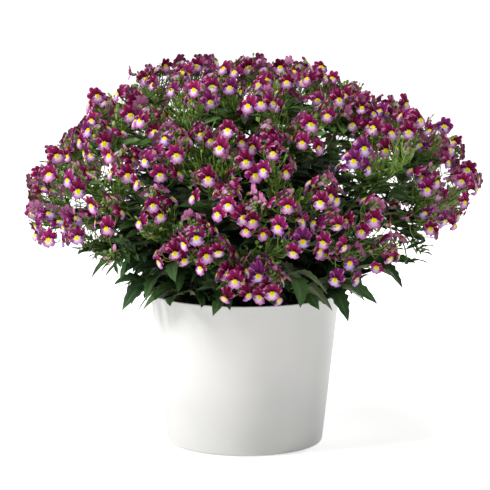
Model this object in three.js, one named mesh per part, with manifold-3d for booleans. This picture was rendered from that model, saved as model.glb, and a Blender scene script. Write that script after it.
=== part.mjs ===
// Potted nemesia: a white tapered pot filled with potting mix, nineteen leafy stems that stand
// in it, and a flower bunch on each of the two branches of every stem. Millimetres, +Z up, and
// the origin is the centre of the pot's underside. The front of the plant faces -Y.
import * as THREE from "three";
import { mergeVertices } from "three/addons/utils/BufferGeometryUtils.js";
import Module from "manifold-3d";

const DEGREE = Math.PI / 180;

// Driving dimensions, in millimetres. An angle of the dome is measured from its top.
const POT_TOP_RADIUS = 89;
const POT_BASE_RADIUS = 73;
const POT_HEIGHT = 142;
const POT_WALL = 3;
const POT_FLOOR = 5;
const POT_EDGE = 0.8; // chamfer of the rim and the foot
const ROUND_SIDES = 36;
const SOIL_BELOW_RIM = 12;
const SOIL_CROWN = 5; // rise of the soil towards its middle
const FIT_GAP = 0.3; // clearance between pieces that rest against each other

const DOME_HALF_WIDTH = 200; // the dome on which the racemes end
const DOME_HALF_HEIGHT = 112;
const DOME_CENTRE_HEIGHT = 235;
const DOME_EDGE = 118 * DEGREE; // where the flowers stop
const DOME_EDGE_RISE = 12 * DEGREE; // they stop this much higher at +X
const DOME_UNEVENNESS = 9; // how far a raceme can stay behind the dome

const STEMS = 19;
const BUNCHES = 2 * STEMS;
const RACEMES_PER_BUNCH = 3;
const RACEME_SPREAD = 29; // from a bunch's middle out to its racemes
const RACEME_SPACING = 52;
const SPACING_ROUNDS = 80;
const RACEME_LEAN = 0.8; // how far a raceme leans from upright towards the dome's normal
const BUNCH_DEPTH = 34; // from the dome down to the fork of a bunch

const FLOWER_HALF_WIDTH = 11;
const FLOWER_REACH = 18; // from the raceme's axis out to a side flower
const FLOWER_TURN = 68 * DEGREE; // round the raceme, from the front flower to a side flower
const FLOWER_STEP = 5; // along the raceme, from one flower to the next
const FRONT_REACH = 14; // the front flower's way out from the raceme's tip
const FRONT_RISE = 9; // and its way up
const FLOWER_LIFT = 0.2; // how far a flower looks up from square to the raceme
const NECK_RADIUS = 1.5; // where the stalk widens into the flower
const RACHIS_RADIUS = 1.3;
const BUD_LENGTH = 8;

const STEM_RADIUS = 1.9;
const BRANCH_RADIUS = 1.5;
const HUB_HEIGHT = 3.5; // of the point between the branches of a fork
const STEM_IN_SOIL = 24;
const HOLE_RADIUS = 2.8;
const CROWN_RADIUS = 60; // the outermost stems stand this far from the middle
const FORK_PLACE = 0.55; // of the way from a stem's foot to its bunches
const FORK_RISE = 0.1; // how far the fork stands above that line, as a share of its length
const STEM_BEND = 0.55; // how long a stem keeps upright, as a share of the way to its fork
const JOINT_LENGTH = 4; // the short stretch of stem that a pair of leaves grows from

// Leaves grow at a share of the way along their stem, rise a little and droop to the tip.
const LOW_LEAF = { place: 0.3, length: 40, halfWidth: 8, lift: 0.5, droop: 1.1 };
const HIGH_LEAF = { place: 0.66, length: 34, halfWidth: 7, lift: 0.5, droop: 0.7 };
const BRANCH_LEAF = { place: 0.55, length: 27, halfWidth: 5, lift: 0.4, droop: 0.6 };
const LEAF_KEEL = 1.3; // depth of the midrib under the blade
const LEAF_STEEPEST = 0.5; // the most that a leaf's first direction rises or falls
// Where a leaf would touch something, it is turned on its stem, or is smaller or droops less.
const LEAF_CLEARANCE = 1.5;
const JOINT_TURNS = [0, 25, -25, 50, -50, 75, -75];
const LEAF_SIZES = [1, 0.85, 0.7];
const LEAF_DROOPS = [1, 0.5, 0.1];
const RIM_CLEARANCE = 2;
const BALL_SPACING = 4; // of the balls that stand for stalks in this test
// Along the leaf, its half width: the stalk, the widest place, and a notch with its tooth.
const LEAF_OUTLINE = [
  [0.1, 0.16],
  [0.36, 1],
  [0.57, 0.62],
  [0.65, 0.76],
];

// The corolla's outline, anticlockwise from the notch at the top: angle from the right, reach
// and forward lean, in half widths. Four upper lobes make a fan, and the lip juts forward.
const COROLLA = [
  [90, 0.84, -0.04],
  [111, 1.08, -0.12],
  [133, 0.76, -0.05],
  [156, 1.02, -0.1],
  [188, 0.42, 0],
  [236, 1.05, 0.36],
  [304, 1.05, 0.36],
  [352, 0.42, 0],
  [24, 1.02, -0.1],
  [47, 0.76, -0.05],
  [69, 1.08, -0.12],
];
const PALATE = [0, -0.14, 0.4]; // the raised throat, to the right, up and forward
const NECK_BACK = 0.36; // from the corolla's middle back to its stalk

const SEED = 5;
const GOLDEN_ANGLE = Math.PI * (3 - Math.sqrt(5));
const SOIL_TOP = POT_HEIGHT - SOIL_BELOW_RIM;
const ORIGIN = new THREE.Vector3(0, 0, 0);
const UP = new THREE.Vector3(0, 0, 1);

// Small tools

// A repeatable draw from 0 to 1 for item i and purpose k.
function draw(i, k) {
  const s = Math.sin(i * 12.9898 + k * 78.233 + SEED) * 43758.5453;
  return s - Math.floor(s);
}

// A point, moved by any number of [direction, length] steps.
function along(point, ...steps) {
  const end = point.clone();
  for (const [direction, length] of steps) end.addScaledVector(direction, length);
  return end;
}

function middleOf(points) {
  return along(ORIGIN, ...points.map((point) => [point, 1 / points.length]));
}

function directionTo(from, to) {
  return to.clone().sub(from).normalize();
}

// The item with the highest score, and the first of those that are as good.
function bestOf(items, score) {
  const tie = 1e-6;
  return items.reduce((best, item) => (score(item) > score(best) + tie ? item : best));
}

// Right, up and forward directions: forward is kept, and up is squared to it.
function frameOf(forward, up) {
  const f = forward.clone().normalize();
  const u = along(up, [f, -up.dot(f)]).normalize();
  return { right: u.clone().cross(f), up: u, forward: f };
}

// A frame turned about its forward direction.
function turnFrame({ forward, up }, turn) {
  return frameOf(forward, up.clone().applyAxisAngle(forward, turn));
}

function inFrame(centre, frame, right, up, forward) {
  return along(centre, [frame.right, right], [frame.up, up], [frame.forward, forward]);
}

// The dome of flowers

// How much of the dome is covered at an azimuth, as a share of its full extent.
function coverAt(azimuth) {
  return 1 - (DOME_EDGE_RISE / DOME_EDGE) * Math.max(0, Math.cos(azimuth));
}

function dome(polar, azimuth) {
  const angle = Math.min(polar, DOME_EDGE * coverAt(azimuth));
  const reach = DOME_HALF_WIDTH * Math.sin(angle);
  return new THREE.Vector3(
    reach * Math.cos(azimuth),
    reach * Math.sin(azimuth),
    DOME_CENTRE_HEIGHT + DOME_HALF_HEIGHT * Math.cos(angle),
  );
}

// A point's angle from the dome's top and its azimuth.
function anglesOf(point) {
  const reach = Math.hypot(point.x, point.y) / DOME_HALF_WIDTH;
  const rise = (point.z - DOME_CENTRE_HEIGHT) / DOME_HALF_HEIGHT;
  return [Math.atan2(reach, rise), Math.atan2(point.y, point.x)];
}

function domeNormal(point) {
  return new THREE.Vector3(
    point.x / DOME_HALF_WIDTH ** 2,
    point.y / DOME_HALF_WIDTH ** 2,
    (point.z - DOME_CENTRE_HEIGHT) / DOME_HALF_HEIGHT ** 2,
  ).normalize();
}

// Angles from the top, at the middles of bands of equal area down to the dome's edge.
function evenPolarAngles(count) {
  const step = 0.25 * DEGREE;
  const areas = [0];
  for (let polar = step / 2; polar < DOME_EDGE; polar += step) {
    const slope = Math.hypot(
      DOME_HALF_WIDTH * Math.cos(polar),
      DOME_HALF_HEIGHT * Math.sin(polar),
    );
    areas.push(areas.at(-1) + slope * Math.sin(polar));
  }
  const angles = [];
  for (let i = 0, k = 0; i < count; i++) {
    while (areas[k] < ((i + 0.5) / count) * areas.at(-1)) k++;
    angles.push(k * step);
  }
  return angles;
}

// Three racemes round the middle of each bunch, pushed apart until they cover the dome evenly.
function placeRacemes() {
  const points = [];
  evenPolarAngles(BUNCHES).forEach((polar, bunch) => {
    const azimuth = bunch * GOLDEN_ANGLE;
    const middle = dome(polar * coverAt(azimuth), azimuth);
    const across = new THREE.Vector3(-Math.sin(azimuth), Math.cos(azimuth), 0);
    const downhill = across.clone().cross(domeNormal(middle));
    for (let j = 0; j < RACEMES_PER_BUNCH; j++) {
      const turn = ((j + draw(bunch, 1)) / RACEMES_PER_BUNCH) * 2 * Math.PI;
      const right = RACEME_SPREAD * Math.cos(turn);
      const down = RACEME_SPREAD * Math.sin(turn);
      points.push(dome(...anglesOf(along(middle, [across, right], [downhill, down]))));
    }
  });
  for (let round = 0; round < SPACING_ROUNDS; round++) {
    const shifts = points.map(() => ORIGIN.clone());
    for (let i = 0; i < points.length; i++) {
      for (let j = i + 1; j < points.length; j++) {
        const overlap = RACEME_SPACING - points[i].distanceTo(points[j]);
        if (overlap <= 0) continue;
        const apart = directionTo(points[j], points[i]);
        shifts[i].addScaledVector(apart, overlap / 4);
        shifts[j].addScaledVector(apart, -overlap / 4);
      }
    }
    points.forEach((point, i) => point.copy(dome(...anglesOf(point.add(shifts[i])))));
  }
  return points;
}

// A raceme on the dome: its axis leans outwards, and its flowers face away from the middle.
function layOutRaceme(surface, index) {
  const hand = index % 2 ? 1 : -1;
  const normal = domeNormal(surface);
  const point = along(surface, [normal, -DOME_UNEVENNESS * draw(index, 2)]);
  const axis = along(UP, [normal, RACEME_LEAN]).normalize();
  const { right, up } = frameOf(axis, new THREE.Vector3(point.x, point.y, 0));
  return { point, normal, axis, outward: up, sideways: right.negate(), hand };
}

// A bunch: the fork that its racemes part from, and the racemes, anticlockwise round its axis.
function layOutBunch(racemes) {
  const middle = middleOf(racemes.map((raceme) => raceme.point));
  const sum = racemes.map((raceme) => along(raceme.axis, [raceme.normal, 1]));
  const axis = middleOf(sum).normalize();
  const frame = frameOf(axis, UP);
  const turnOf = ({ point }) => {
    const away = point.clone().sub(middle);
    return Math.atan2(away.dot(frame.up), away.dot(frame.right));
  };
  const sorted = [...racemes].sort((a, b) => turnOf(a) - turnOf(b));
  const third = (2 * Math.PI) / RACEMES_PER_BUNCH;
  const turns = sorted.map((raceme, i) => turnOf(raceme) - i * third);
  const total = (f) => turns.reduce((before, turn) => before + f(turn), 0);
  const turn = Math.atan2(total(Math.sin), total(Math.cos));
  return { racemes: sorted, middle, axis, turn, fork: along(middle, [axis, -BUNCH_DEPTH]) };
}

function layOutBunches() {
  const racemes = placeRacemes().map(layOutRaceme);
  return Array.from({ length: BUNCHES }, (_, bunch) => {
    const first = bunch * RACEMES_PER_BUNCH;
    return layOutBunch(racemes.slice(first, first + RACEMES_PER_BUNCH));
  });
}

// The three flowers of a raceme, from the lowest up: two side flowers and one in front.
function flowersOf({ point, axis, outward, sideways, hand }) {
  const flower = (turn, reach, rise) => {
    const away = along(ORIGIN, [outward, Math.cos(turn)], [sideways, Math.sin(turn)]);
    const centre = along(point, [away, reach], [axis, rise]);
    return { away, centre, facing: along(away, [axis, FLOWER_LIFT]), up: axis };
  };
  return [
    flower(-hand * FLOWER_TURN, FLOWER_REACH, -FLOWER_STEP / 2),
    flower(hand * FLOWER_TURN, FLOWER_REACH, FLOWER_STEP / 2),
    flower(0, FRONT_REACH, FRONT_RISE),
  ];
}

// The stems

// Bunches in pairs: from the lowest upwards, each with the nearest one that is still free.
function pairBunches(bunches) {
  const free = [...bunches];
  const pairs = [];
  while (free.length) {
    const first = free.pop();
    const second = bestOf(free, (bunch) => -bunch.middle.distanceTo(first.middle));
    free.splice(free.indexOf(second), 1);
    pairs.push([first, second]);
  }
  return pairs;
}

// A stem rises upright from its foot in the soil, bends outwards and parts in two branches.
function layOutStem(pair, index) {
  const [polar, azimuth] = anglesOf(middleOf(pair.map((bunch) => bunch.middle)));
  const outward = new THREE.Vector3(Math.cos(azimuth), Math.sin(azimuth), 0);
  const foot = along(ORIGIN, [outward, (CROWN_RADIUS * polar) / DOME_EDGE], [UP, SOIL_TOP]);
  const goal = middleOf(pair.map((bunch) => bunch.fork));
  const way = goal.clone().sub(foot);
  const fork = along(foot, [way, FORK_PLACE], [UP, FORK_RISE * way.length()]);
  const bend = along(foot, [UP, STEM_BEND * fork.distanceTo(foot)]);
  const main = new THREE.QuadraticBezierCurve3(foot, bend, fork);
  const branches = pair.map((bunch) => {
    const third = bunch.fork.distanceTo(fork) / 3;
    const leave = along(fork, [directionTo(fork, bunch.fork), third]);
    const arrive = along(bunch.fork, [bunch.axis, -third]);
    return new THREE.CubicBezierCurve3(fork, leave, arrive, bunch.fork);
  });
  return { index, pair, outward, foot, main, branches };
}

// A leaf joint on a curve: its middle, and a frame with the leaves to its right and left.
function joint(curve, across, leaf, sides) {
  const forward = curve.getTangent(leaf.place);
  const frame = frameOf(forward, forward.clone().cross(across));
  return { middle: curve.getPoint(leaf.place), frame, leaf, sides };
}

// The leaf joints of a stem: two pairs on its upright part, and a single leaf on each branch.
function jointsOf({ outward, main, branches, index }) {
  const sideways = UP.clone().cross(outward);
  return {
    main: [
      joint(main, outward, LOW_LEAF, [1, -1]),
      joint(main, sideways, HIGH_LEAF, [1, -1]),
    ],
    branches: branches.map((curve, i) => {
      const aslant = along(outward, [sideways, (i + index) % 2 ? 1 : -1]);
      return [joint(curve, aslant, BRANCH_LEAF, [1])];
    }),
  };
}

// The leaves

function leafPoint(leaf, t) {
  const rise = leaf.length * t * (leaf.lift - leaf.droop * t);
  return along(leaf.root, [leaf.direction, STEM_RADIUS + leaf.length * t], [UP, rise]);
}

function leafFrame(leaf, t) {
  const rise = leaf.lift - 2 * leaf.droop * t;
  return frameOf(along(leaf.direction, [UP, rise]), UP);
}

// Balls that fill the outer part of a leaf, smaller towards its tip.
function leafBalls(leaf) {
  return [0.3, 0.4, 0.5, 0.6, 0.7, 0.8, 0.9, 1].map((t) => {
    const share = Math.min(0.85, 1.6 * (1 - t));
    return { centre: leafPoint(leaf, t), radius: share * leaf.halfWidth + LEAF_KEEL };
  });
}

// Balls along a curve.
function curveBalls(curve, radius) {
  const count = Math.ceil(curve.getLength() / BALL_SPACING);
  return curve.getSpacedPoints(count).map((centre) => ({ centre, radius }));
}

// Balls that fill a bunch's stalks and flowers.
function bunchBalls(bunch) {
  return bunch.racemes.flatMap((raceme) => [
    ...curveBalls(new THREE.LineCurve3(bunch.fork, raceme.point), RACHIS_RADIUS),
    ...flowersOf(raceme).map(({ centre }) => ({ centre, radius: FLOWER_HALF_WIDTH })),
  ]);
}

function isClearOfPot({ centre, radius }) {
  const reach = Math.hypot(centre.x, centre.y) - radius;
  const rise = centre.z - radius / 3;
  return reach > POT_TOP_RADIUS + RIM_CLEARANCE || rise > POT_HEIGHT + RIM_CLEARANCE;
}

function isClearOf(taken, { centre, radius }) {
  const room = radius + LEAF_CLEARANCE;
  return taken.every((ball) => centre.distanceTo(ball.centre) > room + ball.radius);
}

// The largest leaf, with the most droop, that keeps clear of all that is there.
function fitLeaf(spot, frame, side, taken) {
  const { length, halfWidth, lift, droop } = spot.leaf;
  const direction = frame.right.clone().multiplyScalar(side);
  if (Math.abs(direction.z) > LEAF_STEEPEST) return undefined;
  const leaves = LEAF_SIZES.flatMap((size) =>
    LEAF_DROOPS.map((share) => ({
      root: spot.middle,
      direction,
      length: length * size,
      halfWidth: halfWidth * size,
      lift,
      droop: droop * share,
    })),
  );
  const fits = (ball) => isClearOfPot(ball) && isClearOf(taken, ball);
  return leaves.find((leaf) => leafBalls(leaf).every(fits));
}

// A joint with its leaves, turned on the stem until as many as can be keep clear.
function fitJoint(spot, taken) {
  const options = JOINT_TURNS.map((turn) => {
    const frame = turnFrame(spot.frame, turn * DEGREE);
    const leaves = spot.sides.map((side) => fitLeaf(spot, frame, side, taken));
    return { ...spot, frame, leaves: leaves.filter(Boolean) };
  });
  const best = bestOf(options, (option) => option.leaves.length);
  taken.push(...best.leaves.flatMap(leafBalls));
  return best;
}

// Meshes that grow

// A closed mesh in which each stalk, blade and petal starts from one of the triangles.
class Growth {
  constructor(ring) {
    this.points = [...ring];
    this.base = [0, 1, 2];
    this.faces = [[2, 1, 0]];
  }

  // Carries an open triangle on to three new points, and gives the new end and the sides.
  grow(open, ring) {
    const misfit = (shift) => {
      const gaps = open.map((p, i) => this.points[p].distanceTo(ring[(i + shift) % 3]));
      return gaps[0] + gaps[1] + gaps[2];
    };
    const shift = bestOf([0, 1, 2], (s) => -misfit(s));
    const first = this.points.length;
    for (let i = 0; i < 3; i++) this.points.push(ring[(i + shift) % 3]);
    const end = [first, first + 1, first + 2];
    const sides = [0, 1, 2].flatMap((i) => this.splitSide(open, end, i, (i + 1) % 3));
    this.faces.push(...sides);
    return { end, sides };
  }

  // The two triangles of a side between two rings, parted along the shorter diagonal.
  splitSide(low, high, i, next) {
    const span = (a, b) => this.points[a].distanceTo(this.points[b]);
    if (span(low[i], high[next]) < span(low[next], high[i])) {
      return [
        [low[i], low[next], high[next]],
        [low[i], high[next], high[i]],
      ];
    }
    return [
      [low[i], low[next], high[i]],
      [low[next], high[next], high[i]],
    ];
  }

  // Closes an open ring of points with a fan of triangles to one more point.
  peak(ring, tip) {
    const last = this.points.push(tip) - 1;
    const sides = ring.map((point, i) => [point, ring[(i + 1) % ring.length], last]);
    this.faces.push(...sides);
    return sides;
  }

  close(open) {
    this.faces.push(open);
  }

  // Takes out a face, so that a piece can grow there.
  open(face) {
    this.faces.splice(this.faces.indexOf(face), 1);
    return face;
  }

  // Takes out the closed face that best faces a direction.
  openTowards(faces, direction) {
    const closed = faces.filter((face) => this.faces.includes(face));
    const best = bestOf(closed, (face) => {
      const [a, b, c] = face.map((i) => this.points[i]);
      return b.clone().sub(a).cross(c.clone().sub(a)).normalize().dot(direction);
    });
    return this.open(best);
  }

  geometry() {
    const shared = new THREE.BufferGeometry().setFromPoints(this.points);
    shared.setIndex(this.faces.flat());
    const geometry = shared.toNonIndexed();
    geometry.computeVertexNormals();
    return geometry;
  }
}

// A three-sided section of a stalk, with one corner up in its frame.
function stalkSection(centre, frame, radius) {
  return [90, 210, 330].map((angle) => {
    const right = radius * Math.cos(angle * DEGREE);
    const up = radius * Math.sin(angle * DEGREE);
    return inFrame(centre, frame, right, up, 0);
  });
}

function growLeaf(growth, open, leaf) {
  let end = open;
  for (const [t, width] of LEAF_OUTLINE) {
    const frame = leafFrame(leaf, t);
    const centre = leafPoint(leaf, t);
    const half = width * leaf.halfWidth;
    const ring = [
      inFrame(centre, frame, half, 0, 0),
      inFrame(centre, frame, -half, 0, 0),
      inFrame(centre, frame, 0, -LEAF_KEEL, 0),
    ];
    end = growth.grow(end, ring).end;
  }
  growth.peak(end, leafPoint(leaf, 1));
}

// Which of the three corners of the neck an outline point is joined to.
function neckCorner([angle]) {
  return Math.floor(((angle + 330) % 360) / 120);
}

function growFlower(growth, open, { centre, facing, up }) {
  const frame = frameOf(facing, up);
  const neck = inFrame(centre, frame, 0, 0, -NECK_BACK * FLOWER_HALF_WIDTH);
  const wanted = stalkSection(neck, frame, NECK_RADIUS);
  const throat = growth.grow(open, wanted).end;
  const corners = wanted.map((corner) => throat.find((i) => growth.points[i] === corner));
  const ring = COROLLA.map(([angle, reach, lean]) => {
    const size = reach * FLOWER_HALF_WIDTH;
    const right = size * Math.cos(angle * DEGREE);
    const rise = size * Math.sin(angle * DEGREE);
    const point = inFrame(centre, frame, right, rise, lean * FLOWER_HALF_WIDTH);
    return growth.points.push(point) - 1;
  });
  COROLLA.forEach((lobe, i) => {
    const next = (i + 1) % COROLLA.length;
    const here = corners[neckCorner(lobe)];
    const there = corners[neckCorner(COROLLA[next])];
    if (here !== there) growth.faces.push([here, there, ring[next]]);
    growth.faces.push([here, ring[next], ring[i]]);
  });
  growth.peak(ring, inFrame(centre, frame, ...PALATE.map((x) => x * FLOWER_HALF_WIDTH)));
}

// A raceme's stalk, with a flower from each of its two short steps and one from its end.
function growRaceme(growth, open, raceme) {
  const { point, axis, outward } = raceme;
  const back = outward.clone().negate();
  const start = middleOf(open.map((i) => growth.points[i]));
  let end = open;
  const steps = [2, 1, 0].map((step) => {
    const centre = along(point, [axis, -step * FLOWER_STEP]);
    const bend = step === 2 ? directionTo(start, centre) : ORIGIN;
    const frame = frameOf(along(axis, [bend, 1]), back);
    const grown = growth.grow(end, stalkSection(centre, frame, RACHIS_RADIUS));
    end = grown.end;
    return grown.sides;
  });
  const [low, high, front] = flowersOf(raceme);
  growFlower(growth, growth.openTowards(steps[1], low.away), low);
  growFlower(growth, growth.openTowards(steps[2], high.away), high);
  growFlower(growth, end, front);
  const free = along(back, [raceme.sideways, -raceme.hand]);
  const budTip = along(point, [free, BUD_LENGTH * 0.4], [axis, BUD_LENGTH]);
  growth.peak(growth.openTowards(steps[2], free), budTip);
}

// A flower bunch: it meets the flat end of its branch and parts in three racemes.
function makeBunch({ racemes, axis, turn, fork }) {
  const firstSide = 150 * DEGREE; // where the first side of a section faces
  const frame = turnFrame(frameOf(axis, UP), turn - firstSide);
  const base = along(fork, [axis, FIT_GAP]);
  const growth = new Growth(stalkSection(base, frame, BRANCH_RADIUS));
  const sides = growth.peak(growth.base, along(base, [axis, HUB_HEIGHT]));
  racemes.forEach((raceme, i) => growRaceme(growth, growth.open(sides[i]), raceme));
  return growth;
}

// Carries a stalk along a curve, through its leaf joints, to a section in a frame at its end.
function growStalk(growth, open, curve, joints, radius, last) {
  let end = open;
  for (const spot of joints) {
    const half = JOINT_LENGTH / 2;
    const lower = along(spot.middle, [spot.frame.forward, -half]);
    const upper = along(spot.middle, [spot.frame.forward, half]);
    end = growth.grow(end, stalkSection(lower, spot.frame, radius)).end;
    const grown = growth.grow(end, stalkSection(upper, spot.frame, radius));
    end = grown.end;
    // Of a side's two triangles the upper one, listed last, points down like a leaf's keel.
    const sides = grown.sides.toReversed();
    for (const leaf of spot.leaves) {
      growLeaf(growth, growth.openTowards(sides, leaf.direction), leaf);
    }
  }
  return growth.grow(end, stalkSection(curve.getPoint(1), last, radius)).end;
}

function makeStem(stem, joints) {
  const upright = frameOf(UP, stem.outward);
  const root = along(stem.foot, [UP, -STEM_IN_SOIL]);
  const growth = new Growth(stalkSection(root, upright, STEM_RADIUS));
  const foot = growth.grow(growth.base, stalkSection(stem.foot, upright, STEM_RADIUS)).end;
  const [first, second] = stem.branches.map((branch) => branch.getTangent(0));
  const onward = middleOf([first, second]).normalize();
  const fork = frameOf(onward, onward.clone().cross(first.clone().sub(second)));
  const top = growStalk(growth, foot, stem.main, joints.main, STEM_RADIUS, fork);
  const peak = along(stem.main.getPoint(1), [onward, HUB_HEIGHT]);
  const sides = growth.peak(top, peak);
  stem.branches.forEach((curve, i) => {
    const open = growth.openTowards(sides, curve.getTangent(0));
    const last = frameOf(curve.getTangent(1), stem.outward);
    const spots = joints.branches[i];
    growth.close(growStalk(growth, open, curve, spots, BRANCH_RADIUS, last));
  });
  return growth;
}

// Pot and soil

// A lathe turned about Z from a profile of [radius, height] points.
function turned(profile) {
  const points = profile.map(([radius, height]) => new THREE.Vector2(radius, height));
  return new THREE.LatheGeometry(points, ROUND_SIDES).rotateX(Math.PI / 2);
}

// The pot's outer radius at a height.
function potRadius(height) {
  return POT_BASE_RADIUS + ((POT_TOP_RADIUS - POT_BASE_RADIUS) * height) / POT_HEIGHT;
}

function makePot() {
  const inner = POT_TOP_RADIUS - POT_WALL;
  return turned([
    [0, 0],
    [POT_BASE_RADIUS - POT_EDGE, 0],
    [potRadius(POT_EDGE), POT_EDGE],
    [potRadius(POT_HEIGHT - POT_EDGE), POT_HEIGHT - POT_EDGE],
    [POT_TOP_RADIUS - POT_EDGE, POT_HEIGHT],
    [inner, POT_HEIGHT],
    [potRadius(POT_FLOOR) - POT_WALL, POT_FLOOR],
    [0, POT_FLOOR],
  ]);
}

function toSolid(wasm, geometry) {
  const bare = new THREE.BufferGeometry();
  const plain = geometry.index ? geometry.toNonIndexed() : geometry;
  bare.setAttribute("position", plain.getAttribute("position"));
  const merged = mergeVertices(bare, 1e-3);
  return new wasm.Manifold(
    new wasm.Mesh({
      numProp: 3,
      vertProperties: merged.attributes.position.array,
      triVerts: new Uint32Array(merged.index.array),
    }),
  );
}

function fromSolid(solid) {
  const { vertProperties, triVerts } = solid.getMesh();
  const geometry = new THREE.BufferGeometry();
  geometry.setAttribute("position", new THREE.BufferAttribute(vertProperties, 3));
  geometry.setIndex(new THREE.BufferAttribute(triVerts, 1));
  const flat = geometry.toNonIndexed();
  flat.computeVertexNormals();
  return flat;
}

// The potting mix fills the pot to just under its rim and has a hole for each stem.
async function makeSoil(stems) {
  const wasm = await Module();
  wasm.setup();
  const bottom = POT_FLOOR + FIT_GAP;
  const clearance = POT_WALL + FIT_GAP;
  let soil = toSolid(
    wasm,
    turned([
      [0, bottom],
      [potRadius(bottom) - clearance, bottom],
      [potRadius(SOIL_TOP) - clearance, SOIL_TOP],
      [0, SOIL_TOP + SOIL_CROWN],
    ]),
  );
  const depth = STEM_IN_SOIL + 1;
  for (const { foot } of stems) {
    const hole = new THREE.CylinderGeometry(HOLE_RADIUS, HOLE_RADIUS, 2 * depth, 6);
    hole.rotateX(Math.PI / 2).translate(foot.x, foot.y, foot.z);
    soil = soil.subtract(toSolid(wasm, hole));
  }
  return fromSolid(soil);
}

// The potted plant

const bunches = layOutBunches();
const stems = pairBunches(bunches).map(layOutStem);
const taken = [
  ...bunches.flatMap(bunchBalls),
  ...stems.flatMap((stem) => [
    ...curveBalls(stem.main, STEM_RADIUS),
    ...stem.branches.flatMap((branch) => curveBalls(branch, BRANCH_RADIUS)),
  ]),
];

const white = new THREE.MeshStandardMaterial({ color: 0xf3f3f3, roughness: 0.35 });
const brown = new THREE.MeshStandardMaterial({ color: 0x2c1f17, roughness: 0.95 });
const green = new THREE.MeshStandardMaterial({ color: 0x3f6b2c, roughness: 0.6 });
const wine = new THREE.MeshStandardMaterial({ color: 0x8f2a63, roughness: 0.7 });
const plant = new THREE.Group();

function add(name, geometry, material) {
  const mesh = new THREE.Mesh(geometry, material);
  mesh.name = name;
  plant.add(mesh);
}

const numbered = (name, index) => `${name}_${String(index + 1).padStart(2, "0")}`;

add("pot", makePot(), white);
add("soil", await makeSoil(stems), brown);
for (const stem of stems) {
  const { main, branches } = jointsOf(stem);
  const fitAll = (spots) => spots.map((spot) => fitJoint(spot, taken));
  const joints = { main: fitAll(main), branches: branches.map(fitAll) };
  add(numbered("leafy_stem", stem.index), makeStem(stem, joints).geometry(), green);
  for (const bunch of stem.pair) {
    const name = numbered("flower_bunch", bunches.indexOf(bunch));
    add(name, makeBunch(bunch).geometry(), wine);
  }
}

export default plant;
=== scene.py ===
# %% [markdown]
# # A potted nemesia in full bloom
# The plant is a dome of small two-lipped flowers on thin forked stems, in a plain white pot.
# A plain model of the same plant gives every stem and every flower bunch its place. This
# lesson works out those places again by the same rule, lays a skeleton of points and lines
# over them, and lets one node tree dress each skeleton with stalks, leaves, buds and flowers.

from math import atan2, cos, hypot, pi, radians, sin, sqrt

import bmesh
import bpy
import numpy as np
from mathutils import Matrix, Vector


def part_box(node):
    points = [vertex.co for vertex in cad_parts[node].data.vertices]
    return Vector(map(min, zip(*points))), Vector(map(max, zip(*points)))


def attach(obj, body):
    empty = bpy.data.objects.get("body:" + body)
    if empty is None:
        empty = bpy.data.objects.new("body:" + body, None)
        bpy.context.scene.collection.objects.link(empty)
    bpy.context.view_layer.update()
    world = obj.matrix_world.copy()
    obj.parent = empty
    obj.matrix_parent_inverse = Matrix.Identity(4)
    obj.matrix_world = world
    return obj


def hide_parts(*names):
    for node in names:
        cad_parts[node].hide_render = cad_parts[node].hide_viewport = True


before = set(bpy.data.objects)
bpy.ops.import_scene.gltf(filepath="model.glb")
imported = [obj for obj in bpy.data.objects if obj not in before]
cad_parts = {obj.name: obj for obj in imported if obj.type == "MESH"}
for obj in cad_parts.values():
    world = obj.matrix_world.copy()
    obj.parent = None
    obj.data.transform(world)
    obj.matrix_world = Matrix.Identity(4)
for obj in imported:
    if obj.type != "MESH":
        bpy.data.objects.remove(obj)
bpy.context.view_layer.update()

# %% [markdown]
# ## Where the racemes stand
# The flowers of a well grown nemesia end on an even dome. Points spread over it at random
# would leave holes and crowds, so three racemes start round the middle of each bunch and are
# pushed apart until all keep their distance. The draws are repeatable: the same item and
# purpose give the same number on every run.

# %% The size of the plant and its pot, in metres
POT_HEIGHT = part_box("pot")[1].z
POT_TOP_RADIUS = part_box("pot")[1].x
POT_BASE_RADIUS = 0.073
POT_WALL = 0.003
POT_FLOOR = 0.005
SOIL_TOP = POT_HEIGHT - 0.012
SOIL_CROWN = 0.005
FIT_GAP = 0.0003
print("The pot is", round(POT_HEIGHT, 4), "m high and", round(2 * POT_TOP_RADIUS, 4), "m wide")

# %% The dome, and draws that can be repeated
DOME_HALF_WIDTH = 0.200
DOME_HALF_HEIGHT = 0.112
DOME_CENTRE_HEIGHT = 0.235
DOME_EDGE = radians(118)
DOME_EDGE_RISE = radians(12)
DOME_UNEVENNESS = 0.009

STEMS = 19
BUNCHES = 2 * STEMS
RACEMES_PER_BUNCH = 3
RACEME_SPREAD = 0.029
RACEME_SPACING = 0.052
SPACING_ROUNDS = 80
RACEME_LEAN = 0.8
BUNCH_DEPTH = 0.034
GOLDEN_ANGLE = pi * (3 - sqrt(5))
SEED = 5
UP = np.array([0.0, 0.0, 1.0])


def draw(i, k, low=0.0, high=1.0):
    """A repeatable draw for item i and purpose k."""
    s = sin(i * 12.9898 + k * 78.233 + SEED) * 43758.5453
    return low + (high - low) * (s - np.floor(s))


def norm(v):
    return np.linalg.norm(v)


def unit(v):
    return v / norm(v)


def frame_of(forward, up):
    """Right, up and forward directions: forward is kept, and up is squared to it."""
    f = unit(forward)
    u = unit(up - f * (up @ f))
    return np.cross(u, f), u, f


def level_way(azimuth):
    return np.array([cos(azimuth), sin(azimuth), 0.0])


def swing(turn, forward, sideways):
    """The direction at a turn from forward towards sideways."""
    return cos(turn) * forward + sin(turn) * sideways


print("Three draws for item 0:", [round(float(draw(0, k)), 4) for k in range(3)])

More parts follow.
